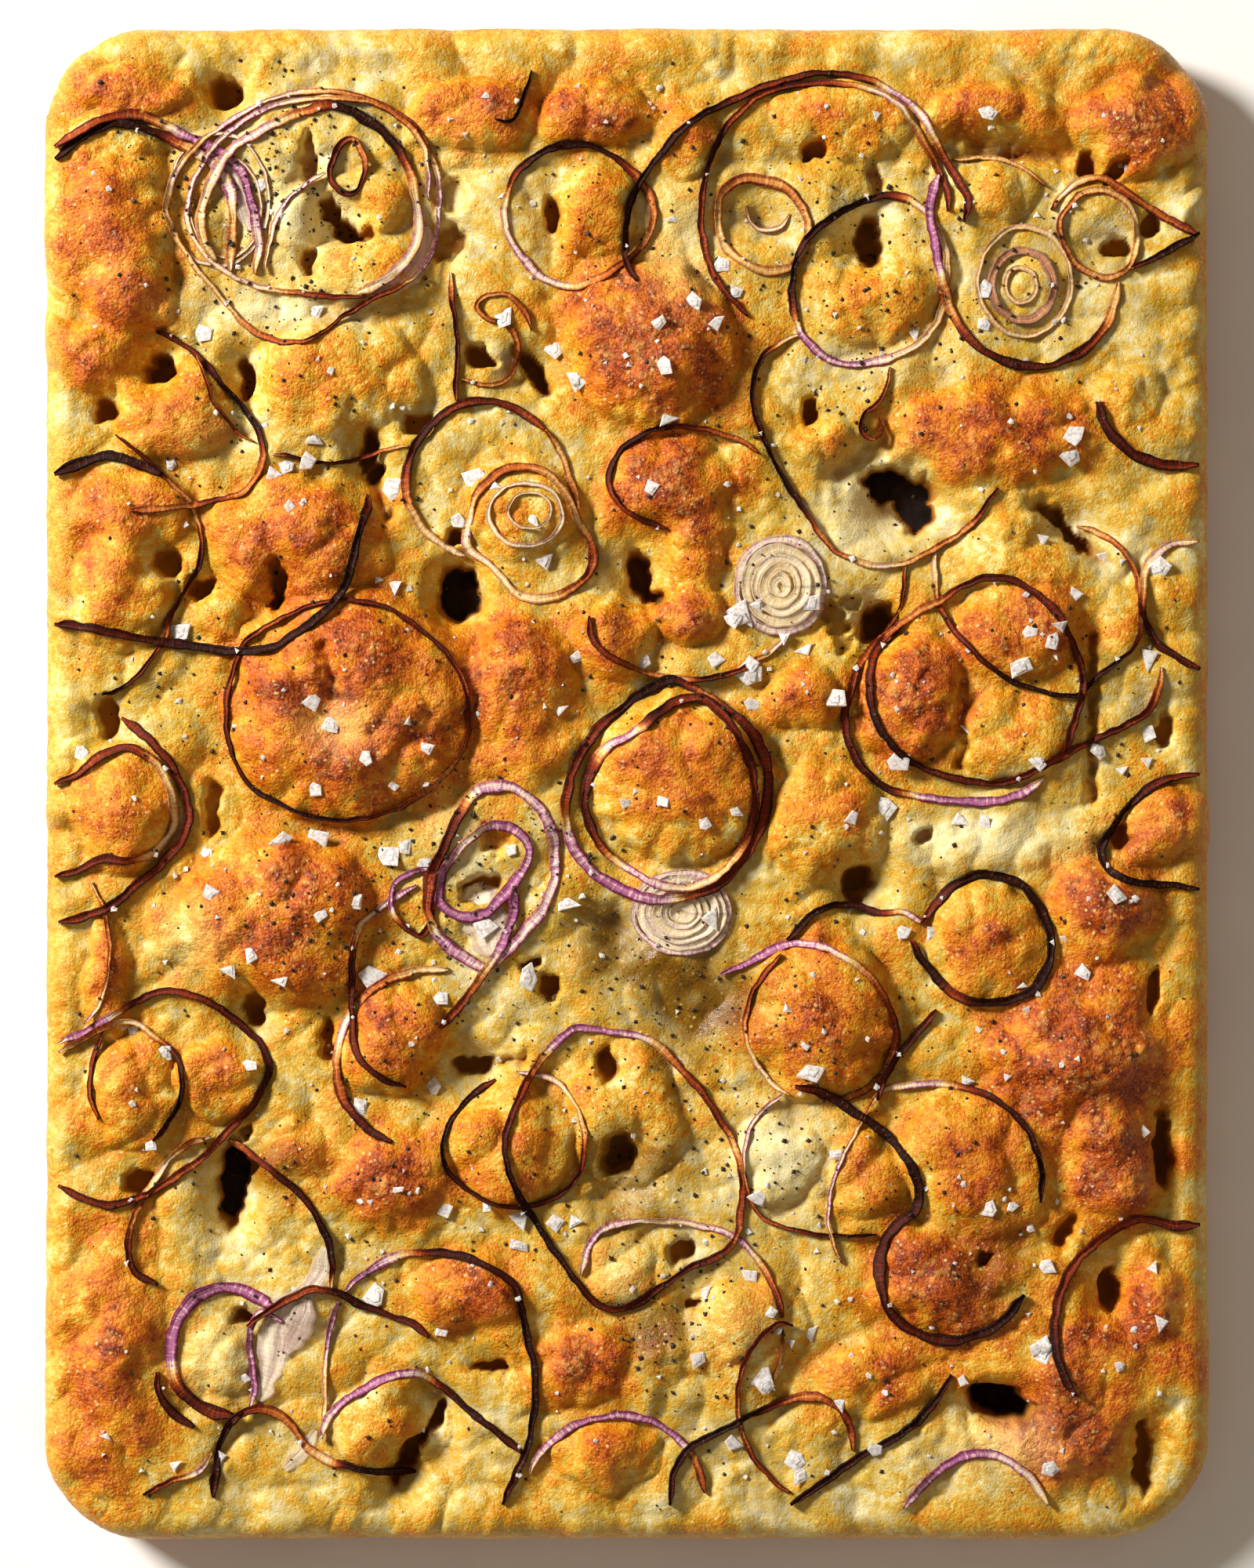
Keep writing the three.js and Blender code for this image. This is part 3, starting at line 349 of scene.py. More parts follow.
     (32.8, 105, 3.8), (32.2, 99, 3.6), (33.5, 93, 3.4), (36, 86.5, 3.6), (40, 79, 4),
     (45, 71, 3.6), (49, 65, 2), (53.5, 60, 2.2), (60, 57, 1.4), (67, 56, 0.9), (73, 57.5, 1.6),
     (80, 61, 2), (87, 65.5, 1.8), (91.5, 70.5, 3), (95, 76, 2.4)]),
    ("onion_ring_27", False, 1.6, [(10.5, 65.3, 2.8), (4.5, 67.5, 3.4), (-1, 70.5, 2.6),
     (-4.2, 75, 2.8), (-4.5, 80, 3.4), (-1.5, 86, 3.6), (4, 89.5, 3.8), (11, 91.6, 3.4),
     (19, 91, 2.6), (27, 89, 2.2), (34, 85, 2.4)]),
    ("onion_strand_16", False, 1.8, [(-9.6, 43, 3), (-9.2, 38, 3), (-6, 33.7, 2.8), (0, 30.4, 2.4),
     (7, 28, 2), (14, 26.9, 1.6), (20, 27, 3.2), (27, 28.5, 2.8), (33, 31.5, 2), (38, 35, 0.8),
     (41.5, 38.5, 1)]),
    ("onion_ring_28", True, 2.5, [(-41, 61, 1), (-40.6, 68, 0.9), (-38, 75, 2), (-32.5, 79.8, 2.2),
     (-25.5, 81.3, 2), (-19, 78.5, 1.6), (-15, 73, 1.6), (-12, 66.5, 1.4), (-8.8, 60.5, 2.4),
     (-9.5, 54.5, 2.6), (-14.5, 50, 2), (-21, 47.6, 1.2), (-28, 48.6, 1.2), (-33, 54, 1),
     (-37.5, 58, 0.9)]),
    ("onion_ring_29", False, 2.6, [(-21, 91, 2.4), (-28.5, 96.3, 2.8), (-36.5, 98.4, 3.2),
     (-44.5, 96.6, 3), (-51.5, 91, 3.6), (-55.8, 84, 3.2), (-56.8, 76, 2.2), (-54.5, 68.5, 1.4),
     (-49, 62.5, 1.2), (-42, 58.5, 0.8)]),
    ("onion_strand_17", False, 1.8, [(-21, 91, 2.2), (-17, 85, 1.6), (-14.5, 78, 1.8),
     (-12, 70, 1.8)]),
    ("onion_ring_30", True, 2.2, [(-31.4, 148, 1), (-29.5, 155, 2.4), (-25, 160.3, 3.6),
     (-18, 163.6, 4), (-11, 164, 3.9), (-4, 161.3, 3.6), (1.5, 157, 2.4), (5.7, 151.5, 2),
     (6.8, 145, 2), (4.5, 139, 2), (-1, 133.5, 2.4), (-8, 129, 2), (-16, 128, 1), (-23, 131, 0.6),
     (-28, 136.5, 0.6), (-31, 142, 0.8)]),
    ("onion_ring_31", False, 3, [(-102, 131.5, 1), (-101.7, 138, 1.6), (-101.2, 145, 1.4),
     (-101.5, 151, 0.6), (-104, 156.5, 0.8), (-108.5, 160.8, 0.6), (-115, 164.3, 2.2),
     (-122, 167.5, 3.8), (-130, 169, 4), (-136, 167.3, 3.9), (-141, 164.5, 4), (-146.5, 160, 3.8)]),
    ("onion_strand_18", False, 2.8, [(-95.6, 131, 1.4), (-94.6, 137, 0.8), (-95, 143, 0.6),
     (-96.5, 149, 0), (-98, 155, 0.1), (-101.5, 160, 0.3), (-107, 163.6, 0), (-114, 166.5, 0.2),
     (-120, 169.8, 1.8), (-127, 171.5, 2.6), (-134, 170, 2.6), (-140, 167, 2.4),
     (-146.5, 163, 2.6)]),
    ("onion_ring_32", True, 1.5, [(-118, 148, 1.4), (-115.6, 157, 0.8), (-111, 163, 1.6),
     (-104, 169, 0.6), (-96, 174, 0.7), (-87, 177.3, 0.8), (-77, 178, 1.6), (-67.5, 176.3, 2.2),
     (-59.5, 172.5, 2.4), (-53.5, 167.5, 2.2), (-50.2, 161, 1.6), (-48.4, 154, 0.6),
     (-48.2, 147, 0.5), (-49.5, 139, 0.4), (-52, 132.5, 0.4), (-58, 127.5, 2), (-65, 124.2, 2.8),
     (-72, 120.5, 2.8), (-78, 115.5, 2.8), (-83.5, 113, 2.4), (-90.5, 113.8, 2.4), (-97, 117, 2),
     (-102, 122, 1.4), (-107, 128, 1.3), (-112.5, 135, 1.3), (-116.5, 142, 1.4)]),
    ("onion_strand_19", False, 1.6, [(-67, 124.6, 3), (-76, 125, 2.8), (-85, 126, 2.2),
     (-93, 127.3, 0.9), (-101, 130.2, 0.8), (-107, 134.5, 1), (-111.5, 140.5, 1), (-113, 147, 0.8),
     (-111.5, 154, 0.7), (-107.5, 161.5, 0.8), (-102, 167.5, 0.5), (-95, 172.5, 0.5),
     (-86.5, 175.2, 0.8), (-76, 176, 1.6), (-66, 175, 2), (-58, 170.5, 2.2), (-52.5, 164.5, 1.4),
     (-51.3, 157, 0.8), (-51, 150, 0.6)]),
    ("onion_ring_33", False, 3, [(-105.5, 134, 1.2), (-109, 140.5, 1.2), (-109, 148, 1),
     (-106.5, 155, 0.9), (-102.5, 161.5, 0.8), (-97.5, 165.5, 0.6), (-91.5, 169, 0.7),
     (-84, 172.3, 1.8), (-77, 174, 2.6), (-71.5, 173, 4), (-66, 170, 4), (-60.5, 165, 4),
     (-57, 160, 2.6), (-55, 154, 1.4), (-53.8, 147, 1), (-53.8, 140, 0.9), (-57, 133.5, 0.8),
     (-62.5, 128.5, 0.9), (-69, 125.5, 1.2)]),
    ("onion_strand_20", True, 1.8, [(-76, 159, 3), (-73.5, 164, 3), (-70, 165.3, 2.2),
     (-67.5, 161, 2), (-67.3, 156, 2.8), (-69.5, 152, 3.4), (-73, 151.8, 3.2),
     (-75.7, 154.5, 2.8)]),
    ("onion_strand_21", False, 1.4, [(-93, 131.5, 1.2), (-92, 138, 1), (-90, 144.5, 0.8),
     (-87, 150, 0.5), (-82, 154, 0.6), (-77.5, 157, 1)]),
    ("onion_strand_22", False, 1.6, [(-45.5, 131.5, 0.9), (-45, 125, 2.4), (-44, 117.5, 3.2),
     (-43.5, 110, 3.2), (-44, 103, 3.2), (-44, 98.5, 2)]),
    ("onion_strand_23", False, 1.5, [(-42.5, 104, 2), (-37, 102.6, 1.8), (-31.5, 103.8, 1.8),
     (-28.6, 108.5, 2.2), (-28.3, 114, 2), (-31, 118, 2.2), (-36, 119.5, 2.2), (-38.7, 122.5, 2),
     (-36, 125.2, 1.8), (-30.5, 125.3, 2), (-26.5, 121.5, 2.2), (-24.5, 116.5, 2.4)]),
    ("onion_strand_24", False, 1.2, [(-24.5, 183, 3.6), (-26.5, 176, 4), (-28.3, 171, 4),
     (-31, 169.2, 4), (-33.7, 170, 4)]),
    ("onion_ring_34", True, 2.6, [(23.3, 147.5, 1.6), (25.5, 153, 2), (31, 155.5, 2),
     (37.5, 154.5, 1.8), (43, 151, 2), (46, 145.5, 1.6), (46, 138.5, 1.4), (42.5, 133, 1.6),
     (36, 131.8, 1.6), (29.5, 134, 1.4), (24.5, 139.5, 1.3)]),
    ("onion_strand_25", False, 1.3, [(30.5, 149, 1), (31.5, 145, 0.9), (35, 142.7, 0.9),
     (39.5, 143.5, 0.9), (42, 146.5, 1.2)]),
    ("onion_ring_35", False, 1.9, [(31, 120, 3), (26, 125.5, 3), (22, 131, 2.6), (20, 137.5, 2.6),
     (19, 145, 2.6), (19.5, 152.5, 2.8), (21, 159, 3.4), (24, 166, 3.6), (28.5, 172, 2.4),
     (35, 177, 2.6), (44, 179.5, 3.2), (54, 179.6, 2.4), (63, 177.7, 0.9), (69, 174.3, 0.8),
     (73, 169.3, 1.4), (77, 163.5, 2), (80, 157.5, 2.4), (82.2, 152, 2.8), (82.4, 147, 2.8)]),
    ("onion_ring_36", False, 2.2, [(2.5, 128.5, 3.4), (0, 133, 3.4), (-0.4, 140, 3.8),
     (0.5, 148, 3.8), (4, 155.5, 4), (9, 162, 4), (14, 167.3, 4), (21, 172.3, 3.8), (29, 176.3, 3),
     (38, 180, 3), (50, 182.5, 3.4), (61, 181, 2.6), (68, 177.7, 0.5), (74, 173, 0.7),
     (78, 167.3, 0.9), (81.3, 161, 2.6), (84.7, 155, 2.8), (87.3, 149.5, 3), (86.5, 144, 3)]),
    ("onion_strand_26", False, 1.3, [(83.5, 160.5, 1.6), (90, 161, 1.4), (97, 160.3, 1.4),
     (103, 157.3, 1.6), (107.5, 153.5, 2)]),
    ("onion_ring_37", True, 2.2, [(42.7, 129.5, 4), (44, 136.5, 3.4), (48, 141.8, 3.8),
     (54, 146.2, 4), (60, 149.5, 4), (67.5, 151.3, 3.2), (74.5, 149, 1), (79.5, 143, 1),
     (82, 135, 1.2), (82, 127, 1.4), (80.5, 120.5, 1.2), (76.5, 114.5, 1.1), (71, 110.7, 0.9),
     (64, 108.4, 0.6), (57, 107.7, 0.3), (50, 110.2, 0.3), (44.8, 115.5, 0.3), (42.6, 122.5, 3)]),
    ("onion_strand_27", False, 1.3, [(67.5, 107, 1.6), (66.3, 101, 2.4), (63.7, 97, 2.6),
     (60.5, 94.3, 3.2), (60, 90.7, 3), (63.2, 88.7, 2), (65.7, 91.3, 2), (64.2, 94.8, 2.4)]),
    ("onion_ring_38", False, 2.7, [(80, 156.5, 0.5), (78.2, 150.5, 0), (77.8, 145, 0.1),
     (79, 139, 0), (80, 133, 0.3), (81.3, 127, 2), (83, 121.5, 1.6), (86.3, 116.3, 2.6),
     (90, 112, 3), (96, 108.8, 3.5), (103, 107.2, 3.4), (110, 107.8, 3.5), (117, 111.3, 3),
     (122, 116.3, 2.4), (125, 122.5, 1.4), (126.3, 129, 1.6)]),
    ("onion_strand_28", False, 2.2, [(109, 147.5, 2.8), (112, 151.5, 1), (117.5, 155.5, 1.4),
     (123.5, 155, 2), (129, 151.3, 2.4), (135, 147.5, 2.2), (141, 144.2, 2.4), (147, 141, 3)]),
    ("onion_ring_39", True, 1.9, [(111, 143, 2), (114, 149, 2), (119, 152.3, 1.6),
     (125, 151.5, 1.6), (130, 147, 1.2), (131.2, 140.5, 1.2), (129.5, 134, 1.6), (125, 130.3, 1.8),
     (119, 131, 1.8), (114, 135, 2)]),
    ("onion_ring_40", False, 2.5, [(129.5, 132.5, 2.6), (134, 134.3, 3.6), (140, 137.5, 4),
     (147, 141.5, 4)]),
    ("onion_strand_29", False, 2.6, [(-46, -47.5, 1), (-53.5, -47.8, 1.2), (-61, -50, 2),
     (-67, -54, 2), (-71, -59, 1), (-73.6, -65, 0.8), (-74.6, -72, 2), (-73.5, -79, 2.4),
     (-70, -85, 3), (-65.5, -89, 3.6), (-60, -91.7, 3.4)]),
    ("onion_ring_41", False, 2, [(-54, -26, 0.2), (-60, -29.5, 0.5), (-65.5, -33.5, 0.8),
     (-69.3, -38.5, 1.6), (-70.3, -45, 3.2), (-70.6, -53, 3.2), (-70.6, -60.5, 3),
     (-69.7, -67.5, 3), (-66.5, -72.3, 3.2), (-62, -75.7, 3.6), (-56.5, -77.5, 3.8)]),
    ("onion_strand_30", True, 1.6, [(-50, -22.5, 0), (-55, -22.7, 0), (-59.5, -25.5, 0),
     (-60.6, -31, 0.1), (-57.5, -36.5, 3), (-53.3, -39, 3), (-50.5, -35, 2.6),
     (-49.5, -28.5, 2.4)]),
    ("onion_ring_42", True, 3.1, [(-38.5, -2, 0.6), (-31.5, -0.6, 0.5), (-25.5, -3.3, 0.5),
     (-21.2, -8, 0.4), (-18.7, -14.5, 0.5), (-18.4, -22, 0.5), (-20.3, -29.5, 0.6),
     (-25, -36.5, 0.6), (-30.5, -42.5, 0.4), (-36.5, -47, 0.6), (-42.5, -44, 0.4),
     (-48, -39.5, 0.4), (-51, -33, 2.4), (-50.5, -25, 2.6), (-47.5, -17, 3), (-43.5, -9, 3)]),
    ("onion_ring_43", True, 2.9, [(-33.5, -10.5, 0.3), (-28, -12.3, 0.2), (-25, -16.5, 0.2),
     (-26.8, -22, 0.3), (-31, -28, 0), (-36, -33, 0), (-42.5, -34, 0.1), (-47.7, -30.5, 0),
     (-47.8, -24, 0), (-44, -18, 0.5), (-39, -13, 0.8)]),
    ("onion_strand_31", False, 2.6, [(-29, -26, 0), (-29.3, -34, 0), (-32.5, -42, 0.2),
     (-37.5, -49.5, 1.8), (-42.5, -56.5, 2.6), (-48, -62.5, 2.4)]),
    ("onion_ring_44", True, 3, [(12, 26.7, 3.8), (5.5, 24.3, 4), (-0.5, 20.3, 3.8), (-7, 14.7, 3),
     (-11.5, 8.5, 3), (-14.5, 1.5, 2.8), (-15.8, -6, 2.2), (-14.7, -14, 0.4), (-11, -20.5, 0.3),
     (-5, -25.2, 0), (2.5, -28.6, 0), (10.5, -29.6, 0.6), (18.5, -28, 2.8), (25.5, -23.8, 3),
     (31, -17.5, 2.6), (34.7, -10, 3), (36.3, -2, 3), (35.6, 6, 3), (32, 13, 3), (26.5, 18.5, 3),
     (20, 23, 2)]),
    ("onion_ring_45", True, 2.8, [(19, 22, 3), (12.5, 21, 3), (7, 17.3, 3.6), (2, 13.3, 0.6),
     (-4.5, 9.8, 0.6), (-9, 4, 3), (-10.8, -3, 3), (-9.7, -10.5, 3.2), (-6, -16.7, 2.4),
     (0, -21.7, 0.6), (7, -25.4, 0.6), (14.5, -26.6, 1), (21.5, -24.3, 1), (27.5, -19.3, 1.6),
     (31.3, -12, 2.6), (32.8, -4, 3), (31.8, 4, 3), (28.8, 11.5, 3.2), (24.5, 17.5, 3)]),
    ("onion_strand_32", False, 2.2, [(-76, -129.5, 0.8), (-75.6, -124.5, 3), (-76.3, -119, 3.8),
     (-78.3, -113.5, 3.9), (-81.5, -108, 3.4), (-86.3, -102.7, 3.6), (-91.5, -98.7, 3.2),
     (-97, -95, 2.6), (-102.5, -91.5, 1.6)]),
    ("onion_ring_46", False, 3.6, [(-90.5, -134.5, 0), (-96, -131.3, 0), (-102, -129.3, 0),
     (-108, -130.3, 0), (-113, -134, 0), (-116, -139.5, 0), (-117, -146.5, 0), (-115.7, -153, 2.2),
     (-112, -157.7, 3.4), (-107, -160.7, 3), (-101, -162, 3)]),
    ("onion_strand_33", False, 2.6, [(-120.3, -150.5, 2.6), (-119.8, -156, 3.4),
     (-116.5, -161, 3.6), (-111, -165, 3.2)]),
    ("onion_strand_34", False, 2, [(-88, -138, 0.3), (-94, -135.5, 0.5), (-96.8, -141, 0.1),
     (-96.3, -148, 0.1), (-95.6, -155, 0.2), (-97, -160.5, 1)]),
    ("onion_ring_47", False, 2.3, [(-72.5, -130, 0.6), (-69, -126.7, 0.2), (-63.5, -123.2, 0.3),
     (-57.5, -120.7, 1.2), (-50, -120, 3.4), (-42, -121, 3.8), (-35, -123.7, 3.6),
     (-29, -128.2, 3.6), (-27, -134.5, 3.8), (-25.5, -142, 4), (-23.7, -150, 4), (-23.8, -160, 4),
     (-25.5, -170, 3.8), (-29, -178, 3.4), (-32, -185, 3.4)]),
    ("onion_strand_35", False, 1.6, [(-74, -132.5, 0.3), (-76.5, -141, 0.2), (-77.5, -150, 1),
     (-77.6, -159, 1.2), (-78.3, -168, 1)]),
    ("onion_ring_48", False, 2.4, [(-79, -168, 1), (-76, -161.5, 0.5), (-71, -157.2, 0.1),
     (-65, -153.7, 0.1), (-59, -151.5, 0.3), (-53, -151.8, 0.8), (-48, -155, 3), (-42, -160, 3.9),
     (-35, -165.3, 3.8), (-27, -171.5, 3.2)]),
    ("onion_ring_49", False, 2.3, [(-97.5, -139, 2.4), (-92, -135, 3), (-86, -131.7, 2.6),
     (-80, -129.3, 2.6), (-74, -130.7, 3.6), (-68, -133.7, 3.8), (-62, -136, 3.3), (-56, -138, 3.2),
     (-50.5, -141.7, 3.2)]),
    ("onion_ring_50", False, 2.5, [(-106, -183, 3.6), (-105.5, -175, 3.8), (-104, -168, 3.8),
     (-100.5, -162.5, 3.4), (-95, -160.3, 2.6), (-89.5, -161.7, 2), (-85, -166.3, 2),
     (-81, -171.3, 1.6), (-76.5, -173.6, 1.2), (-71, -175, 4), (-64, -176.8, 4),
     (-54.5, -177.6, 3.6)]),
    ("onion_strand_36", False, 1.8, [(-124, -182, 3), (-116, -178.3, 2.2), (-110, -176.3, 0.6),
     (-106.5, -171.5, 1.4)]),
]

# Salt flakes: x, y, distance across.
SALT = [
    (-109, 116, 4), (-80, 121.5, 5), (-94, 154, 3), (-32, 119.5, 5), (9.5, 106.5, 4),
    (8, 117, 3.5), (17, 123, 4), (23, 117.5, 4), (10, 93.5, 5), (-19, 112, 4), (11, 145, 3),
    (24.5, 133.5, 3.5), (27.5, 126, 3.5), (92, 127, 4), (91.5, 118, 3), (74, 116, 4),
    (92.5, 171.5, 4), (64, 171, 2.5), (-91, 79, 4.5), (-82, 82.5, 4), (-87.5, 81.5, 3.5),
    (-80, 88.5, 4.5), (-86, 71, 3.5), (-115, 39, 5), (-80.5, 20.5, 4.5), (-75.5, 15, 4.5),
    (-66.5, 6.5, 4), (-56, 16, 2.5), (-51, 9, 3), (-59, 50.5, 4), (-64, 52.5, 2.5), (-60, 76, 5),
    (-117, 82, 2.5), (-140, 8, 4), (33.5, 46, 4), (47.5, 46, 5), (-39, 78.5, 6), (-33.5, 76, 2.5),
    (-24, 67.5, 4), (-21.5, 57, 5), (-43.5, 67.5, 4), (6, 75.5, 3.5), (-12.5, 32.5, 4.5),
    (4, 31.5, 4), (32, 20.5, 4), (23, 32, 4), (40, 37.5, 3.5), (46, 35, 4.5), (-17, 19.5, 3),
    (100.5, 29.5, 5), (108.5, 36.5, 3.5), (103, 39, 3), (109.5, 32.5, 2.5), (110.5, 41, 3.5),
    (87, 14, 3.5), (70, 6, 5), (105.5, 5.5, 4), (133.5, 13, 4), (133, 5.5, 3.5), (127, 4, 3),
    (121, 8.5, 3.5), (115, 48.5, 3.5), (107, 62, 4), (123, 58, 4.5), (136, 55, 5), (114, 89, 5),
    (113.5, 84, 5), (-79.5, -1.5, 4), (-59.5, -0.5, 2.5), (-88.5, -14.5, 4.5), (-79, -14.5, 5),
    (-57, -15.5, 4), (-52, -20.5, 3.5), (-108, -18, 3), (-106, -28, 4.5), (-101.5, -47.5, 4),
    (-88.5, -50, 4), (-78, -33.5, 4), (-69, -30, 4.5), (-65, -50, 6), (-48, -55, 3.5),
    (-96, -43.5, 4), (-127, -63.5, 3.5), (-118.5, -69, 4), (-97, -72, 3.5), (-68, -82.5, 4),
    (-50, -78, 4), (-15, -30.5, 5), (9, -4.5, 3), (-0.5, -5, 2.5), (-30, -17, 3), (-36, -37, 5),
    (20, -10, 3.5), (28, -7, 3), (57.5, -8.5, 3.5), (92, -10, 4), (125, -28.5, 5), (78, -38.5, 4.5),
    (71, -38, 3), (112, -39.5, 2.5), (102.5, -58, 3), (101.5, -52, 2.5), (41, -57.5, 3),
    (45.5, -67, 2.5), (87.5, -76.5, 3.5), (97, -75, 2.5), (117, -48.5, 3.5), (132.5, -89, 2.5),
    (-47.5, -140.5, 3.5), (-46.5, -109.5, 4), (-122, -92.5, 3), (-58.5, -103.5, 2.5),
    (-98, -152.5, 2.5), (-104, -173, 3), (-115.5, -174.5, 3.5), (-133, -167, 2.5),
    (-36, -108, 2.5), (-28, -118.5, 4), (-18, -112.5, 4), (-14, -112.5, 4), (47, -141, 4.5),
    (42, -143.5, 2.5), (20.5, -131, 4), (31.5, -126, 4), (37, -135, 3), (18, -147, 4.5),
    (43, -173, 4.5), (45, -177.5, 4.5), (27, -169, 4.5), (34, -106, 4.5), (107.5, -123.5, 4),
    (92.5, -108.5, 4), (98.5, -108, 2.5), (103.5, -113.5, 2), (63.5, -170.5, 3), (55, -159, 3.5),
    (86, -153, 2.5), (108.5, -175, 4), (135, -124, 3), (136, -138, 4), (126, -148.5, 2.5),
    (54, -95, 4), (22.5, -35, 6), (65.5, -6, 6), (47, -73.5, 6), (-64.5, -131.5, 5.5),
    (-28, -111.5, 5.5), (-25.5, -49.5, 5.5), (52.5, 22, 5.5), (86, -9.5, 5.5), (133, 31.5, 5.5),
    (-61.5, -18.5, 5.5),
]

# Where pepper lies thickest: x, y, spread, number of grains.
PEPPER = [
    (-85, 150, 18, 90), (-110, 150, 16, 40), (60, 135, 17, 60), (60, 100, 15, 20), (0, 148, 16, 18),
    (-70, -35, 22, 70), (-45, -20, 16, 40), (8, -142, 9, 35), (5, -52, 22, 45), (20, -90, 22, 45),
    (100, 128, 12, 25), (45, -60, 18, 20), (-110, 30, 20, 25), (30, 30, 25, 25), (120, 30, 18, 20),
    (-100, 110, 20, 25), (-60, -95, 25, 20), (70, -100, 25, 30), (-95, -120, 25, 25),
    (0, 0, 90, 170), (0, 100, 90, 90), (0, -110, 90, 90),
]

# ---------------------------------------------------------------- noise

TABLE_SIZE = 512           # noise repeats after this many bumps
TABLE_START = 200          # keeps all places on the loaf on the table's positive side
NOISE_GAIN = 1.5           # brings gradient noise to about -1 to 1
FAR_AWAY = 9.0             # more than the square of any distance between neighbouring cell points


def on_table(x, y, size):
    """Column and row of each place, and how far it lies past them."""
    grid_x, grid_y = x / size + TABLE_START, y / size + TABLE_START
    column, row = np.floor(grid_x).astype(int), np.floor(grid_y).astype(int)
    return column, row, grid_x - column, grid_y - row


def noise(x, y, size, seed):
    """Smooth gradient noise with bumps about size millimetres across, from about -1 to 1."""
    table = np.random.default_rng(seed).uniform(0, 2 * np.pi, (TABLE_SIZE, TABLE_SIZE))
    column, row, fx, fy = on_table(x, y, size)
    ease_x = fx ** 3 * (fx * (fx * 6 - 15) + 10)
    ease_y = fy ** 3 * (fy * (fy * 6 - 15) + 10)

    def corner(right, up):
        angle = table[(row + up) % TABLE_SIZE, (column + right) % TABLE_SIZE]
        return np.cos(angle) * (fx - right) + np.sin(angle) * (fy - up)

    low = corner(0, 0) * (1 - ease_x) + corner(1, 0) * ease_x
    high = corner(0, 1) * (1 - ease_x) + corner(1, 1) * ease_x
    return (low * (1 - ease_y) + high * ease_y) * NOISE_GAIN


def noises(x, y, *parts):
    """Sum of several noises, each given as its strength, size in mm and seed."""
    return sum(strength * noise(x, y, size, seed) for strength, size, seed in parts)


def cells(x, y, size, seed):
    """Distance to the nearest of scattered points, in shares of their spacing."""
    points = np.random.default_rng(seed).random((TABLE_SIZE, TABLE_SIZE, 2))
    column, row, fx, fy = on_table(x, y, size)
    nearest = np.full(fx.shape, FAR_AWAY)
    for up in (-1, 0, 1):
        for right in (-1, 0, 1):
            point = points[(row + up) % TABLE_SIZE, (column + right) % TABLE_SIZE]
            away = (right + point[..., 0] - fx) ** 2 + (up + point[..., 1] - fy) ** 2
            nearest = np.minimum(nearest, away)
    return np.sqrt(nearest)


def step(low, high, value):
    """Goes smoothly from 0 at low to 1 at high; low may be the larger one."""
    share = np.clip((value - low) / (high - low), 0, 1)
    return share * share * (3 - 2 * share)


# ---------------------------------------------------------------- the crust

VALLEY_HEIGHT = 20.5       # top of the dough where no bubble lifts it
RELIEF = 1.3               # how much higher the bubbles stand than in the plain CAD crust
BUBBLE_MAX_RISE = 9.5
BUBBLE_RISE_PER_RADIUS = 0.3
BUBBLE_RISE_PER_BAKE = 3.0
BUBBLE_FOOT = 1.18         # a bubble's foot, as a share of its radii
BUBBLE_ROUNDNESS = 0.65    # below 1 a bubble is flatter on top and steeper at its foot
BROWNING_REACH = 0.85      # how quickly browning fades from a bubble's middle
BAKED_RISE = 24.0          # rise of a well baked part, times its amount
BAKED_SHARE = 0.9          # browning of a well baked part, times its amount
DIMPLE_REACH = 0.8         # how quickly a dimple fades from its middle
HOLE_OUTSIDE = 1.4         # a torn hole's wall goes from here to HOLE_INSIDE, in its radii
HOLE_INSIDE = 0.85
FUNNEL_DEPTH = 0.3         # the dip around a torn hole, as a share of its depth
FUNNEL_REACH = 2.6         # and how far it reaches, in the hole's radii
CREASE_DEPTH = 1.6         # depth of a crease, times the depth listed
FLOOR_LEVEL = 7.5          # height of the floor of the deepest torn holes
TORN_FULL = 12.0           # depth in mm at which a place counts as fully torn
CRISP_EDGE = 20.0          # the loaf's edge browns within this many mm
BASE_BAKE = 0.21           # browning of the crust between bubbles


def ellipse_away(x, y, cx, cy, rx, ry):
    """Square of the distance from an ellipse's middle, in its radii."""
    return ((x - cx) / rx) ** 2 + ((y - cy) / ry) ** 2


def spots(x, y, places):
    """Strongest of the soft round patches (x, y, radius, radius, amount) at each point."""
    best = np.zeros_like(x)
    for cx, cy, rx, ry, amount in places:
        best = np.maximum(best, amount * np.exp(-ellipse_away(x, y, cx, cy, rx, ry)))
    return best


def bubbles(x, y):
    """How far the bubbles and well baked parts lift the crust, and how brown they are."""
    rise = np.zeros_like(x)
    bake = np.zeros_like(x)
    for cx, cy, rx, ry, brown in BUBBLES:
        away = ellipse_away(x, y, cx, cy, rx * BUBBLE_FOOT, ry * BUBBLE_FOOT)
        full = min(BUBBLE_RISE_PER_RADIUS * min(rx, ry) + BUBBLE_RISE_PER_BAKE * brown,
                   BUBBLE_MAX_RISE)
        rise += (RELIEF * full * np.clip(1 - away, 0, 1) ** BUBBLE_ROUNDNESS) ** 3
        bake += (brown * np.exp(-BROWNING_REACH * away)) ** 3
    rise, bake = np.cbrt(rise), np.cbrt(bake)
    for cx, cy, rx, ry, amount in WELL_BAKED:
        share = amount * np.exp(-ellipse_away(x, y, cx, cy, rx, ry))
        bake += BAKED_SHARE * share
        rise = np.cbrt(rise ** 3 + (BAKED_RISE * share) ** 3)
    return rise, bake


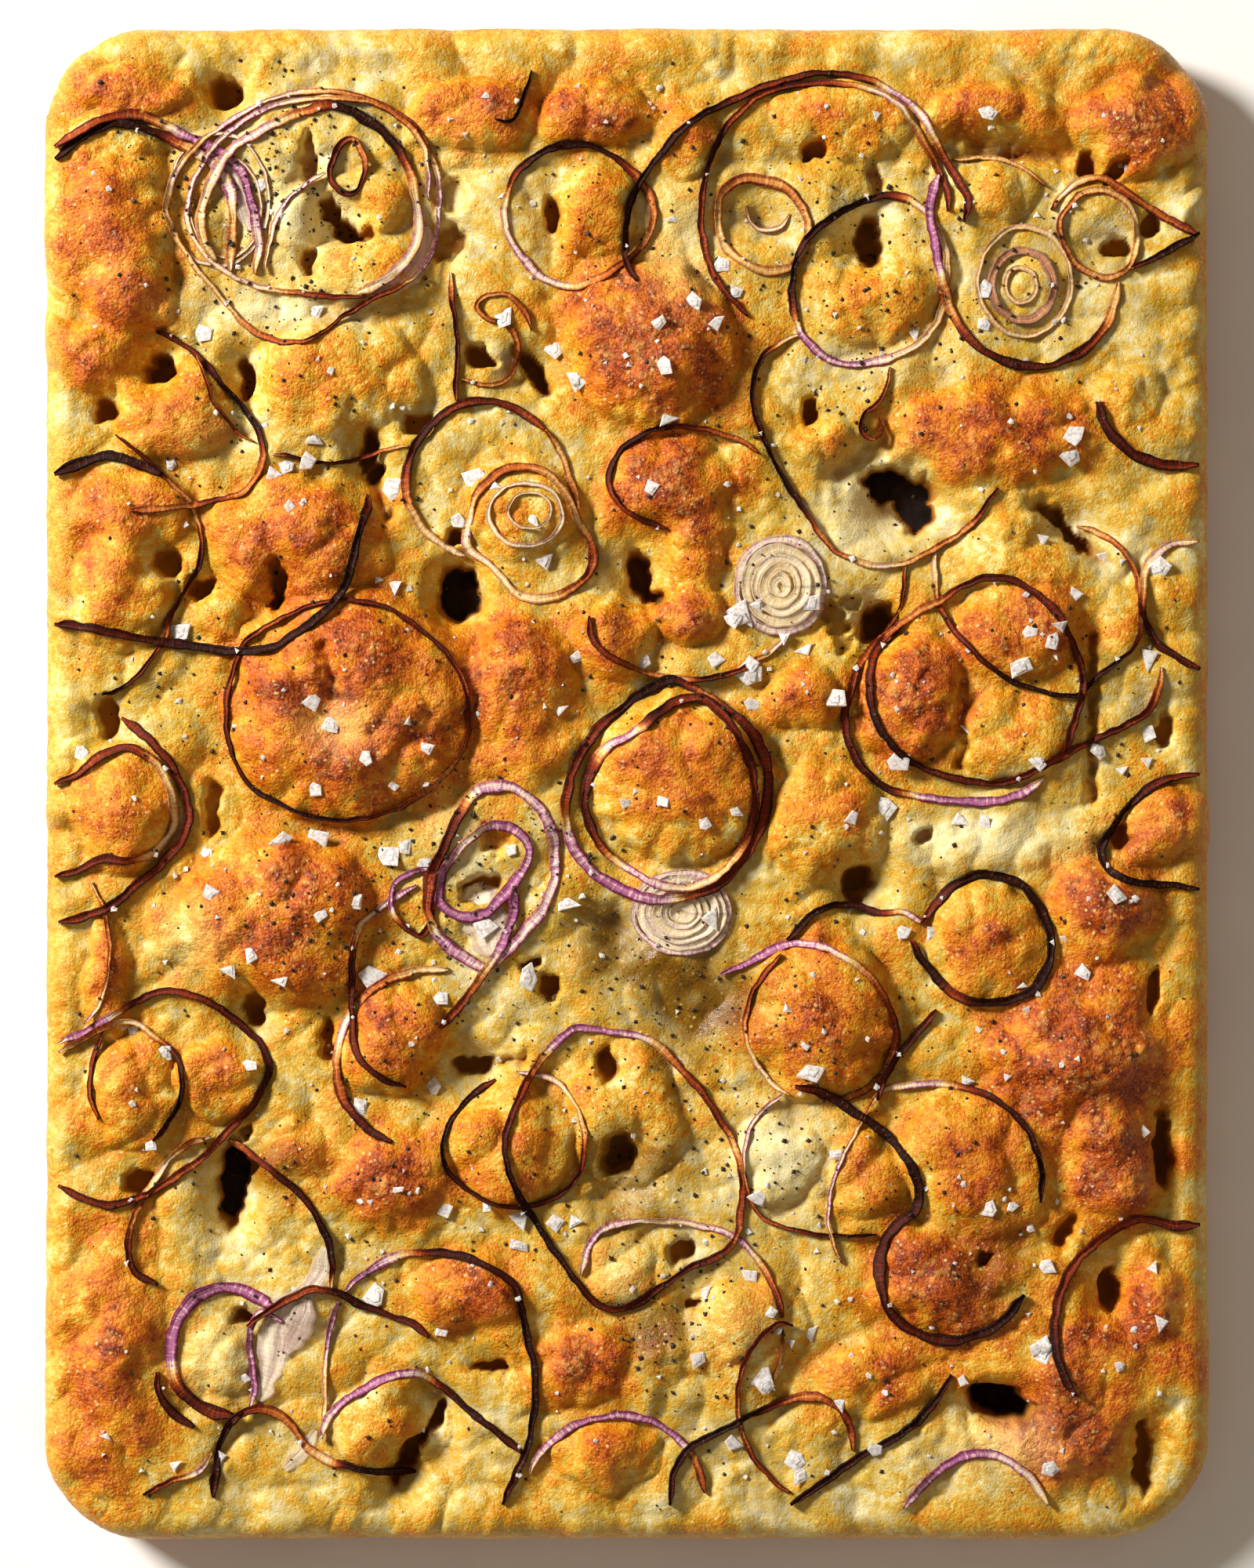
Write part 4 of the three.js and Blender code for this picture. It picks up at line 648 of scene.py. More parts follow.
def tears(x, y):
    """Depth of the torn holes and creases, and of the soft dip around each hole."""
    torn = np.zeros_like(x)
    funnel = np.zeros_like(x)
    for cx, cy, rx, ry, turn, depth in HOLES:
        c, s = math.cos(math.radians(turn)), math.sin(math.radians(turn))
        along = ((x - cx) * c + (y - cy) * s) / rx
        across = ((y - cy) * c - (x - cx) * s) / ry
        away = np.hypot(along, across)
        torn = np.maximum(torn, depth * step(HOLE_OUTSIDE, HOLE_INSIDE, away))
        funnel = np.maximum(funnel, FUNNEL_DEPTH * depth * np.exp(-(away / FUNNEL_REACH) ** 2))
    return torn, funnel


def creases(x, y, ragged_x, ragged_y):
    """Depth of the narrow creases, each a soft groove along a straight line."""
    crease = np.zeros_like(x)
    for ax, ay, bx, by, half, depth in CREASES:
        share = ((x - ax) * (bx - ax) + (y - ay) * (by - ay)) / ((bx - ax) ** 2 + (by - ay) ** 2)
        share = np.clip(share, 0, 1)
        away = np.hypot(ragged_x - ax - share * (bx - ax), ragged_y - ay - share * (by - ay))
        crease = np.maximum(crease, CREASE_DEPTH * depth * np.exp(-(away / half) ** 2))
    return crease


def crust(x, y):
    """Height of the crust in mm, and how baked, oily, pale, torn and crumbly it is, and where dark oil
    pools carry painted shade.
    """
    warp_x = x + noises(x, y, (2.6, 17, 1), (1.2, 6, 2))
    warp_y = y + noises(x, y, (2.6, 17, 3), (1.2, 6, 4))
    rise, bake = bubbles(warp_x, warp_y)
    dimple = np.zeros_like(x)
    for cx, cy, rx, ry, depth in DIMPLES:
        away = ellipse_away(x, y, cx, cy, rx, ry)
        dimple = np.maximum(dimple, depth * np.exp(-DIMPLE_REACH * away))
    ragged_x = x + noises(x, y, (0.8, 2.6, 5), (1.3, 6, 6))
    ragged_y = y + noises(x, y, (0.8, 2.6, 7), (1.3, 6, 8))
    hole, funnel = tears(ragged_x, ragged_y)
    torn = np.maximum(hole, creases(x, y, ragged_x, ragged_y))

    # Soft folds in the dough, lumps, and the fine grain of the browned skin
    swell = 3.2 * np.abs(noise(warp_x, warp_y, 20, 10)) ** 0.8 - 1.1 + 0.6 * noise(x, y, 10, 11)
    lumps = noises(x, y, (0.36, 6.5, 12), (0.13, 3.4, 13))
    browned = step(0.3, 0.75, bake)
    crumb = step(0.46, 0.16, cells(x, y, 2.6, 19)) * browned * step(-0.1, 0.4, noise(x, y, 9, 20))
    grain = 0.3 * crumb + 0.07 * noise(x, y, 1.8, 14)
    grain += (0.05 + 0.25 * browned) * (0.45 - cells(x, y, 2.3, 15))
    blisters = 0.6 * step(0.42, 0.1, cells(x, y, 7.5, 16)) * step(-0.1, 0.5, noise(x, y, 22, 17))
    sunk = np.maximum(dimple, funnel)
    height = VALLEY_HEIGHT + rise - sunk + swell + lumps + grain + blisters
    floor = FLOOR_LEVEL + 1.2 * noise(x, y, 4, 18)
    height = np.maximum(height - torn, np.minimum(floor, height))

    # Oil gathers in the valleys and in pools; the darkest pools also get painted shade
    valley = step(3.4, 0.4, rise + 0.8 * swell) * (0.5 + 0.7 * noise(x, y, 11, 21))
    oil_and_shade = spots(warp_x, warp_y, SHADED_OIL_POOLS) * (0.85 + 0.5 * noise(x, y, 7, 27))
    oil = np.clip(np.maximum(np.maximum(0.95 * valley, spots(x, y, OIL_POOLS)), oil_and_shade), 0, 1)
    oil *= 0.75 + 0.5 * noise(x, y, 4.5, 22)

    # Browning is patchy, stronger on high places and toward the loaf's edge, weaker in dips
    patchy = noises(x, y, (0.34, 9, 23), (0.2, 3.4, 24))
    bake = bake * (1 + 1.05 * patchy) + 0.34 * patchy + 0.05 * swell + 0.08 * lumps + BASE_BAKE
    from_edge = np.minimum(LOAF_WIDTH / 2 - np.abs(x), LOAF_LENGTH / 2 - np.abs(y))
    crisp = step(CRISP_EDGE, 6, from_edge) * (0.08 + 0.25 * noise(x, y, 13, 26))
    bake += 0.13 * noise(x, y, 28, 25) + crisp
    pale = spots(x, y, PALE_PATCHES)
    bake = bake * (1 - 0.75 * pale) - 0.025 * sunk
    looks = {"bake": bake, "oil": oil * (1 - 0.8 * pale), "pale": pale, "torn": torn / TORN_FULL,
             "crumb": crumb, "oil_and_shade": oil_and_shade}
    return {"z": height, **{key: np.clip(look, 0, 1) for key, look in looks.items()}}


# ---------------------------------------------------------------- meshes


def make_mesh(name, points, quads, triangles, values, material):
    """An object from points in mm, four- and three-sided faces, and one number per point each."""
    mesh = bpy.data.meshes.new(name)
    points = np.asarray(points, float).reshape(-1, 3)
    quads = np.asarray(quads, int).reshape(-1, 4)
    triangles = np.asarray(triangles, int).reshape(-1, 3)
    mesh.vertices.add(len(points))
    mesh.vertices.foreach_set("co", (points * MM).astype(np.float32).ravel())
    corners = np.concatenate([quads.ravel(), triangles.ravel()])
    mesh.loops.add(len(corners))
    mesh.loops.foreach_set("vertex_index", corners.astype(np.int32))
    starts = np.concatenate([np.arange(len(quads)) * 4,
                             len(quads) * 4 + np.arange(len(triangles)) * 3])
    mesh.polygons.add(len(starts))
    mesh.polygons.foreach_set("loop_start", starts.astype(np.int32))
    mesh.update(calc_edges=True)
    mesh.validate()
    for key, numbers in values.items():
        layer = mesh.attributes.new(key, "FLOAT", "POINT")
        layer.data.foreach_set("value", np.asarray(numbers, np.float32))
    mesh.shade_smooth()
    mesh.materials.append(material)
    thing = bpy.data.objects.new(name, mesh)
    link(thing)
    return thing


# ---------------------------------------------------------------- materials


def hexed(code):
    """Linear colour from a screen colour such as "d9a83c"."""
    parts = [int(code[k:k + 2], 16) / 255 for k in (0, 2, 4)]
    return tuple(p / 12.92 if p <= 0.04045 else ((p + 0.055) / 1.055) ** 2.4 for p in parts) + (1,)


class Shader:
    """A material's node tree, with short calls to add to it."""

    def __init__(self, name):
        self.material = bpy.data.materials.new(name)
        self.material.use_nodes = True
        self.tree = self.material.node_tree
        self.surface = self.tree.nodes["Principled BSDF"]
        self.place = self.add("ShaderNodeTexCoord").outputs["Object"]

    def add(self, kind, settings=None, inputs=None):
        node = self.tree.nodes.new(kind)
        for key, value in (settings or {}).items():
            setattr(node, key, value)
        for key, value in (inputs or {}).items():
            self.put(node.inputs[key], value)
        return node

    def put(self, socket, value):
        if isinstance(value, bpy.types.NodeSocket):
            self.tree.links.new(value, socket)
        else:
            socket.default_value = value

    def set(self, **inputs):
        for key, value in inputs.items():
            self.put(self.surface.inputs[key.replace("_", " ")], value)

    def attribute(self, name):
        return self.add("ShaderNodeAttribute", {"attribute_name": name}).outputs["Fac"]

    def noise(self, size_mm, detail=2.0, roughness=0.55, place=None):
        return self.add("ShaderNodeTexNoise", {}, {
            "Vector": place or self.place, "Scale": 1 / (size_mm * MM), "Detail": detail,
            "Roughness": roughness}).outputs["Fac"]

    def cells(self, size_mm):
        inputs = {"Vector": self.place, "Scale": 1 / (size_mm * MM)}
        return self.add("ShaderNodeTexVoronoi", {}, inputs).outputs["Distance"]

    def vector(self, x, y):
        return self.add("ShaderNodeCombineXYZ", {}, {"X": x, "Y": y}).outputs[0]

    def math(self, kind, a, b, clamp=False):
        node = self.add("ShaderNodeMath", {"operation": kind, "use_clamp": clamp}, {0: a, 1: b})
        return node.outputs[0]

    def times(self, a, b, clamp=False):
        return self.math("MULTIPLY", a, b, clamp)

    def plus(self, a, b, clamp=False):
        return self.math("ADD", a, b, clamp)

    def swing(self, value, reach):
        """A noise's difference from its mean of a half, times reach."""
        return self.times(self.math("SUBTRACT", value, 0.5), reach)

    def between(self, value, low, high, to_low=0.0, to_high=1.0):
        return self.add("ShaderNodeMapRange", {"clamp": True}, {
            "Value": value, "From Min": low, "From Max": high, "To Min": to_low,
            "To Max": to_high}).outputs["Result"]

    def mix(self, share, a, b, blend="MIX"):
        node = self.add("ShaderNodeMix", {"data_type": "RGBA", "blend_type": blend})
        for socket, value in ((node.inputs[0], share), (node.inputs[6], a), (node.inputs[7], b)):
            self.put(socket, value)
        return node.outputs[2]

    def ramp(self, value, stops):
        node = self.add("ShaderNodeValToRGB", {}, {"Fac": value})
        elements = node.color_ramp.elements
        for k, (position, color) in enumerate(stops):
            element = elements[k] if k < 2 else elements.new(position)
            element.position = position
            element.color = hexed(color)
        return node.outputs["Color"]

    def bump(self, height, strength, depth_mm, below=None):
        inputs = {"Height": height, "Strength": strength, "Distance": depth_mm * MM}
        if below is not None:
            inputs["Normal"] = below
        return self.add("ShaderNodeBump", {}, inputs).outputs["Normal"]


BAKED_COLORS = [(0.0, "e9dfb2"), (0.14, "e1cc80"), (0.28, "dab03e"), (0.42, "d89016"),
                (0.56, "d0770c"), (0.72, "b95508"), (0.86, "8c3404"), (1.0, "5e1b03")]
SOAKED_COLORS = [(0.34, "644602"), (0.5, "a8800c"), (0.66, "dcc24a")]
# Painted shade: near-black colours deep inside torn holes
HOLE_SHADE_COLORS = [(0.35, "0d0301"), (0.6, "190602"), (0.78, "2b0d04")]
# Painted shade: the tint that darkens the crust's hollows
HOLLOW_SHADE_TINT = (0.46, 0.11, 0.015, 1)
# Painted shade: the tint that darkens the darkest pools of oil
POOL_SHADE_TINT = (0.34, 0.22, 0.03, 1)
ONION_COLORS = [(0.0, "a4608a"), (0.08, "c898ac"), (0.17, "ecdccb"), (0.3, "e6c67c"),
                (0.5, "c46c22"), (0.64, "8f3212"), (0.8, "561709"), (1.0, "230804")]
ONION_RIM_COLORS = [(0.0, "62143e"), (0.14, "8c2f5c"), (0.26, "b07a40"), (0.42, "98441a"),
                    (0.55, "5c150a"), (0.8, "2a0804"), (1.0, "0e0302")]
SALT_COLORS = [(0.38, "d2c6bf"), (0.48, "f0eaea"), (0.6, "ffffff")]
SALT_IOR = 1.54
PEPPER_COLORS = [(0.35, "120b08"), (0.6, "30200f"), (0.75, "6b5435")]
FLOOR_COLORS = [(0.3, "f4f3f1"), (0.7, "fafaf9")]


def make_bread_material():
    s = Shader("bread_crust")
    bake, oil = s.attribute("bake"), s.attribute("oil")
    pale, torn, hollow = s.attribute("pale"), s.attribute("torn"), s.attribute("hollow")
    fine, middle, broad = s.noise(0.8, 3), s.noise(2.2, 3), s.noise(7.0, 3)
    grain, blister = s.cells(1.1), s.cells(2.4)

    # Browning, broken up at three sizes, then the yellow-green of oil where the crust stayed light
    amount = s.plus(s.times(bake, 0.82), s.swing(middle, 0.7))
    amount = s.plus(amount, s.swing(fine, 0.5))
    amount = s.plus(amount, s.swing(broad, 0.3), True)
    baked = s.ramp(amount, BAKED_COLORS)
    soaked = s.ramp(s.plus(s.times(broad, 0.5), s.times(fine, 0.5)), SOAKED_COLORS)
    color = s.mix(s.times(oil, s.between(amount, 0.25, 0.6, 0.95, 0.1), True), baked, soaked)

    # Painted shade: hollows and the darkest pools of oil are darkened as if in shadow
    color = s.mix(s.between(hollow, 0.5, 4.6, 0.0, 0.95), color, HOLLOW_SHADE_TINT, "MULTIPLY")
    color = s.mix(s.times(s.attribute("oil_and_shade"), 1.5, True), color, POOL_SHADE_TINT, "MULTIPLY")

    # Light specks, pimples and crumbs on the skin, pale dough, then the inside of torn holes: brown
    # crumb on their walls and painted shade, near black, deep down
    specks = s.times(s.between(grain, 0.36, 0.16), s.between(middle, 0.48, 0.6))
    specks = s.times(specks, s.between(amount, 0.25, 0.6, 0.2, 0.55))
    color = s.mix(specks, color, hexed("eec272"))
    pimples = s.times(s.between(blister, 0.24, 0.12), s.between(broad, 0.4, 0.55))
    color = s.mix(s.times(pimples, 0.55), color, hexed("f3da8c"))
    color = s.mix(s.times(s.attribute("crumb"), 0.5), color, hexed("e3a64c"))
    color = s.mix(s.times(pale, 0.5), color, hexed("f0e3ae"))
    color = s.mix(s.between(torn, 0.25, 0.5), color, hexed("a56a1a"))
    # Painted shade: the deep inside of torn holes is near black
    color = s.mix(s.between(torn, 0.55, 0.9), color, s.ramp(middle, HOLE_SHADE_COLORS))
    s.set(Base_Color=color)

    rough = s.plus(s.between(fine, 0.3, 0.7, 0.3, 0.52), s.times(oil, -0.2))
    rough = s.plus(rough, s.between(torn, 0.25, 0.5), True)
    s.set(Roughness=rough, Specular_IOR_Level=0.3, Subsurface_Weight=0.18,
          Subsurface_Radius=(0.004, 0.0018, 0.0007), Subsurface_Scale=0.4)

    # The skin's fine texture, rougher where it browned and gone inside torn holes
    whole = s.between(torn, 0.6, 0.25)
    relief = s.bump(s.noise(0.45, 2), s.times(whole, 0.45), 0.3)
    for height, least, most, depth in ((fine, 0.28, 0.85, 0.7), (middle, 0.3, 0.6, 1.0)):
        strength = s.times(s.between(bake, 0.15, 0.6, least, most), whole)
        relief = s.bump(height, strength, depth, relief)
    s.set(Normal=relief)
    return s.material


def make_onion_material():
    s = Shader("roasted_onion")
    roast, across, along = s.attribute("roast"), s.attribute("across"), s.attribute("along")
    thin = s.attribute("thin")
    fine = s.noise(0.6, 3)

    # Fibres run across the band and streaks along it; both shift how roasted it looks
    fibers = s.noise(900.0, 3, 0.6, s.vector(along, s.times(across, 0.35)))
    streaks = s.noise(1000.0, 2, 0.6, s.vector(s.times(along, 0.08), s.times(across, 2.2)))
    state = s.plus(roast, s.swing(streaks, 0.4))
    state = s.plus(state, s.swing(fibers, 0.65), True)

    # Darker rims, lighter pulp between the fibres, and paler thin skins
    edge = s.math("ABSOLUTE", across, 0.0)
    rimmed = s.times(s.between(edge, 0.25, 0.8, 0.0, 0.95), s.between(thin, 0.2, 0.6, 1.0, 0.25))
    color = s.mix(rimmed, s.ramp(state, ONION_COLORS), s.ramp(state, ONION_RIM_COLORS))
    pulp = s.times(s.between(fibers, 0.54, 0.68), s.between(edge, 0.8, 0.4, 0.0, 0.4))
    pulp = s.times(pulp, s.between(state, 0.5, 0.85, 1.0, 0.25))
    color = s.mix(pulp, color, hexed("e6b98e"))
    color = s.mix(s.times(thin, 0.7), color, hexed("fff0d2"))
    s.set(Base_Color=color, Roughness=s.between(fine, 0.3, 0.7, 0.5, 0.72),
          Specular_IOR_Level=0.12, Subsurface_Weight=0.12, Subsurface_Radius=(0.003, 0.0012, 0.001),
          Subsurface_Scale=0.4)
    s.set(Normal=s.bump(streaks, 0.6, 0.5, s.bump(fibers, 0.8, 0.35, s.bump(fine, 0.5, 0.2))))

    # Thin skins let the crust show through between their streaks and at their edges
    seen = s.times(s.between(streaks, 0.35, 0.62, 0.25, 0.9), s.between(edge, 0.95, 0.5, 0.3, 1.0))
    s.set(Alpha=s.plus(s.times(s.math("SUBTRACT", seen, 1.0), thin), 1.0, True))
    return s.material


def make_salt_material():
    s = Shader("flake_salt")
    fine = s.noise(0.9, 2)
    s.set(Base_Color=s.ramp(fine, SALT_COLORS), Roughness=s.between(fine, 0.3, 0.7, 0.12, 0.35),
          IOR=SALT_IOR, Transmission_Weight=0.12, Subsurface_Weight=0.5, Subsurface_Scale=0.5,
          Subsurface_Radius=(0.003, 0.003, 0.003))
    s.set(Normal=s.bump(fine, 0.25, 0.12))
    return s.material


def make_plain_material(name, colors, size_mm, roughness):
    """A matt material whose colour varies with soft noise."""
    s = Shader(name)
    s.set(Base_Color=s.ramp(s.noise(size_mm, 2), colors), Roughness=roughness)
    return s.material


BREAD = make_bread_material()
ONION = make_onion_material()
SALT_LOOK = make_salt_material()
PEPPER_LOOK = make_plain_material("ground_pepper", PEPPER_COLORS, 0.5, 0.7)

# ---------------------------------------------------------------- bread

CORNER_RADIUS = 27.0
RIM_INSET = 7.0            # the crust's grid ends this far inside the outline
GRID = 0.68                # spacing of the crust's points
EDGE_DROP = 7.5            # how far the crust rolls down before the side wall
ROLL_BANDS = 12            # bands of faces that the rolled edge is made of
WALL_SHARES = (0.8, 0.6, 0.42, 0.28, 0.17, 0.09, 0.03, 0.0)    # heights on the wall, as shares of it
FOOT_INSET = 2.4           # how far the wall draws in at the foot
FOOT_WRINKLE = 0.3         # share of the wall's wrinkles that is left on the floor
UNDERSIDE_SCALES = (0.97, 0.85, 0.6, 0.3)
LOOKS = ("bake", "oil", "pale", "torn", "hollow", "crumb", "oil_and_shade")
WALL_OIL = 0.25
UNDERSIDE_LOOK = {"bake": 0.6, "oil": 0.2}
UNDERSIDE_MIDDLE = 0.5     # every look at the middle point of the underside


def outline(u, v, inset):
    """A point of the rounded outline, drawn in by inset; u and v run from -1 to 1."""
    half_x, half_y = LOAF_WIDTH / 2 - inset, LOAF_LENGTH / 2 - inset
    radius = CORNER_RADIUS - inset
    x, y = np.abs(u) * half_x, np.abs(v) * half_y
    a = np.maximum(0, x - (half_x - radius))
    b = np.maximum(0, y - (half_y - radius))
    round_x = a * (np.sqrt(1 - b ** 2 / (2 * radius ** 2)) - 1)
    round_y = b * (np.sqrt(1 - a ** 2 / (2 * radius ** 2)) - 1)
    return np.sign(u) * (x + round_x), np.sign(v) * (y + round_y)


def band_quads(upper, lower):
    """Faces between two closed rows of points."""
    after_upper, after_lower = np.roll(upper, -1), np.roll(lower, -1)
    return np.stack([upper, lower, after_lower, after_upper], 1)


def wall_bands():
    """Rows of points below the crust's grid: inset, drop from the rim, share of the wall's height."""
    bands = []
    for k in range(1, ROLL_BANDS + 1):
        turn = k / ROLL_BANDS * math.pi / 2
        bands.append((RIM_INSET * (1 - math.sin(turn)), EDGE_DROP * (1 - math.cos(turn)), None))
    for share in WALL_SHARES:
        bands.append((FOOT_INSET * (1 - share) ** 3, None, share))
    return bands


def make_bread():
    """The crust as a grid, the rolled edge and wall as bands round it, and a flat underside."""
    columns, rows = round(LOAF_WIDTH / GRID), round(LOAF_LENGTH / GRID)
    u, v = np.meshgrid(np.linspace(-1, 1, columns + 1), np.linspace(-1, 1, rows + 1))
    top_x, top_y = outline(u.ravel(), v.ravel(), RIM_INSET)
    top = crust(top_x, top_y)
    # How far each point lies below the mean height around it; this sets the painted shade in hollows
    top["hollow"] = height_in(mean_height, top_x, top_y) - top["z"]
    ids = np.arange(len(top_x)).reshape(rows + 1, columns + 1)
    quads = [np.stack([ids[:-1, :-1].ravel(), ids[:-1, 1:].ravel(), ids[1:, 1:].ravel(),
                       ids[1:, :-1].ravel()], 1)]
    border = np.concatenate([ids[0, :-1], ids[:-1, -1], ids[-1, :0:-1], ids[:0:-1, 0]])
    border_u, border_v = u.ravel()[border], v.ravel()[border]
    rim_z = top["z"][border]
    xs, ys, zs = [top_x], [top_y], [top["z"]]
    values = {key: [top[key]] for key in LOOKS}
    upper, count = border, len(top_x)

    def add_band(x, y, z, looks):
        """One more row of points, joined to the row before it."""
        nonlocal upper, count
        xs.append(x)
        ys.append(y)
        zs.append(z)
        for key in LOOKS:
            values[key].append(looks[key])
        lower = np.arange(count, count + len(border))
        count += len(border)
        quads.append(band_quads(upper, lower))
        upper = lower

    for inset, drop, share in wall_bands():
        x, y = outline(border_u, border_v, inset)
        around = crust(x, y)
        around["hollow"] = 0 * x
        z = rim_z - drop if share is None else (rim_z - EDGE_DROP) * share
        wrinkle = 0.45 * noise(x + 3 * z, y - 2 * z, 6, 31) + 0.2 * noise(x - z, y + 2 * z, 2.4, 32)
        inward = np.clip(wrinkle, -0.1, 1) * (FOOT_WRINKLE if share == 0 else 1)
        x, y = x - np.sign(x) * np.abs(inward), y - np.sign(y) * np.abs(inward)
        wall = dict.fromkeys(LOOKS, 0.0)
        wall["bake"] = 0.82 + 0.25 * noise(x, y, 14, 33) - 0.3 * step(0.15, 0.8, z / 16)
        wall["oil"] = WALL_OIL
        from_crust = 1 - drop / EDGE_DROP if share is None else 0.0
        add_band(x, y, z, {key: wall[key] * (1 - from_crust) + around[key] * from_crust
                           for key in LOOKS})
    for scale in UNDERSIDE_SCALES:
        add_band(x * scale, y * scale, 0 * x,
                 {key: UNDERSIDE_LOOK.get(key, 0.0) + 0 * x for key in LOOKS})
    for numbers in (xs, ys, zs):
        numbers.append([0.0])
    for key in LOOKS:
        values[key].append([UNDERSIDE_MIDDLE])
    triangles = np.stack([upper, np.full(len(upper), count), np.roll(upper, -1)], 1)
    points = np.stack([np.concatenate(numbers) for numbers in (xs, ys, zs)], 1)
    values = {key: np.concatenate(parts) for key, parts in values.items()}
    piece = make_mesh("bread_baked", points, np.concatenate(quads), triangles, values, BREAD)
    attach(piece, "root")
    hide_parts("bread")


# ---------------------------------------------------------------- where toppings rest

PILE_STEP = 0.8
HOLLOW_REACH = 9.0         # a hollow is what lies below the mean height this far around
LAST_CELL = 1.001          # keeps a place looked up in the map inside its last cell
pile_x = np.arange(-LOAF_WIDTH / 2, LOAF_WIDTH / 2 + PILE_STEP, PILE_STEP)
pile_y = np.arange(-LOAF_LENGTH / 2, LOAF_LENGTH / 2 + PILE_STEP, PILE_STEP)
pile = crust(*np.meshgrid(pile_x, pile_y))["z"]


def blurred(grid, reach):
    """The map's mean height within reach, first along one axis and then along the other."""
    kernel = np.hanning(2 * round(reach / PILE_STEP) + 1)
    kernel /= kernel.sum()
    for _ in range(2):
        wide = np.pad(grid, ((0, 0), (len(kernel) // 2, len(kernel) // 2)), mode="edge")
        grid = np.stack([np.convolve(row, kernel, mode="valid") for row in wide]).T
    return grid


mean_height = blurred(pile, HOLLOW_REACH)
edge_x = np.abs(pile_x)[None, :] - (LOAF_WIDTH / 2 - RIM_INSET)
edge_y = np.abs(pile_y)[:, None] - (LOAF_LENGTH / 2 - RIM_INSET)
past_rim = np.clip(np.maximum(edge_x, edge_y), 0, RIM_INSET) / RIM_INSET
pile -= EDGE_DROP * (1 - np.sqrt(1 - past_rim ** 2))


def height_in(grid, x, y):
    """A map's height between its points."""
    gx = np.clip((np.asarray(x, float) - pile_x[0]) / PILE_STEP, 0, len(pile_x) - LAST_CELL)
    gy = np.clip((np.asarray(y, float) - pile_y[0]) / PILE_STEP, 0, len(pile_y) - LAST_CELL)
    i, j = gx.astype(int), gy.astype(int)
    fx, fy = gx - i, gy - j
    return ((grid[j, i] * (1 - fx) + grid[j, i + 1] * fx) * (1 - fy)
            + (grid[j + 1, i] * (1 - fx) + grid[j + 1, i + 1] * fx) * fy)


def pile_at(x, y):
    """Height of the crust and what lies on it."""
    return height_in(pile, x, y)


def raise_pile(x, y, top, reach):
    """Lifts the map to top at points within reach of a course."""
    for px, py, pz in zip(x, y, top):
        i0, i1 = np.searchsorted(pile_x, (px - reach, px + reach))
        j0, j1 = np.searchsorted(pile_y, (py - reach, py + reach))
        pile[j0:j1, i0:i1] = np.maximum(pile[j0:j1, i0:i1], pz)


# ---------------------------------------------------------------- onion

ONION_STEP = 0.9           # mm between the points of a course
ONION_THICKNESS = 1.0
BRIDGE_STEPS = 9           # a band spans dips up to this many steps long
REST_WINDOW = 13           # steps over which a band's height is evened out
LAST_WINDOW = 5            # and once more, after it was kept from sinking in
SINK = 0.35                # mm that a band may sink into what it lies on
LIFT = 0.45                # mm from there to the middle of the band
BAND_WIDTH = 0.88          # a roasted band's width, as a share of the width listed
CHARRED_WIDTH = 0.12       # share of its width that a band loses as it chars
TIP_WIDTH = 0.35           # width at a broken end, as a share of the band's
STEEPEST = 0.8             # limit of a band's slope from side to side
ELLIPSE_POINTS = 10
TURN = 6.28                # about a full turn, for the noise round a whole ring
SEED_RUN = 37              # keeps the grain of bands with different seeds apart
# A band's cross-section: place across it in half-widths, height in thicknesses.
SECTION = [(-0.95, -1.0), (-1.02, 0.35), (-0.84, 0.85), (-0.5, 0.5), (0.0, 0.42), (0.5, 0.5),
           (0.84, 0.85), (1.02, 0.35), (0.95, -1.0)]


def eased(numbers, window, whole):
    """Running mean over window steps, round the ring or held at its ends."""
    kernel = np.hanning(window + 2)[1:-1]
    kernel /= kernel.sum()
    wide = np.pad(numbers, window // 2, mode="wrap" if whole else "edge")
    return np.convolve(wide, kernel, mode="valid")[:len(numbers)]


def bridged(heights, window):
    """Fills dips narrower than window steps, which a stiff band spans."""
    windows = np.lib.stride_tricks.sliding_window_view
    highest = windows(np.pad(heights, window // 2, mode="edge"), window).max(axis=1)
    return windows(np.pad(highest, window // 2, mode="edge"), window).min(axis=1)


def smooth_course(points, whole):
    """Catmull-Rom curve through the points, in steps of about ONION_STEP."""
    knots = np.asarray(points, float)
    if whole:
        knots = np.concatenate([knots[-1:], knots, knots[:2]])
    else:
        knots = np.concatenate([2 * knots[:1] - knots[1:2], knots, 2 * knots[-1:] - knots[-2:-1]])
    out = []
    for a, b, c, d in zip(knots, knots[1:], knots[2:], knots[3:]):
        count = max(2, round(np.hypot(*(c - b)[:2]) / ONION_STEP))
        t = (np.arange(count) / count)[:, None]
        out.append(0.5 * (2 * b + (c - a) * t + (2 * a - 5 * b + 4 * c - d) * t ** 2
                          + (3 * b - a - 3 * c + d) * t ** 3))
    if not whole:
        out.append(knots[-2:-1])
    return np.concatenate(out)


def sideways(x, y, whole):
    """Unit vectors to the left of a course."""
    if whole:
        ahead = np.stack([np.roll(x, -1) - np.roll(x, 1), np.roll(y, -1) - np.roll(y, 1)], 1)
    else:
        ahead = np.stack([np.gradient(x), np.gradient(y)], 1)
    ahead /= np.linalg.norm(ahead, axis=1)[:, None]
    return -ahead[:, 1], ahead[:, 0]


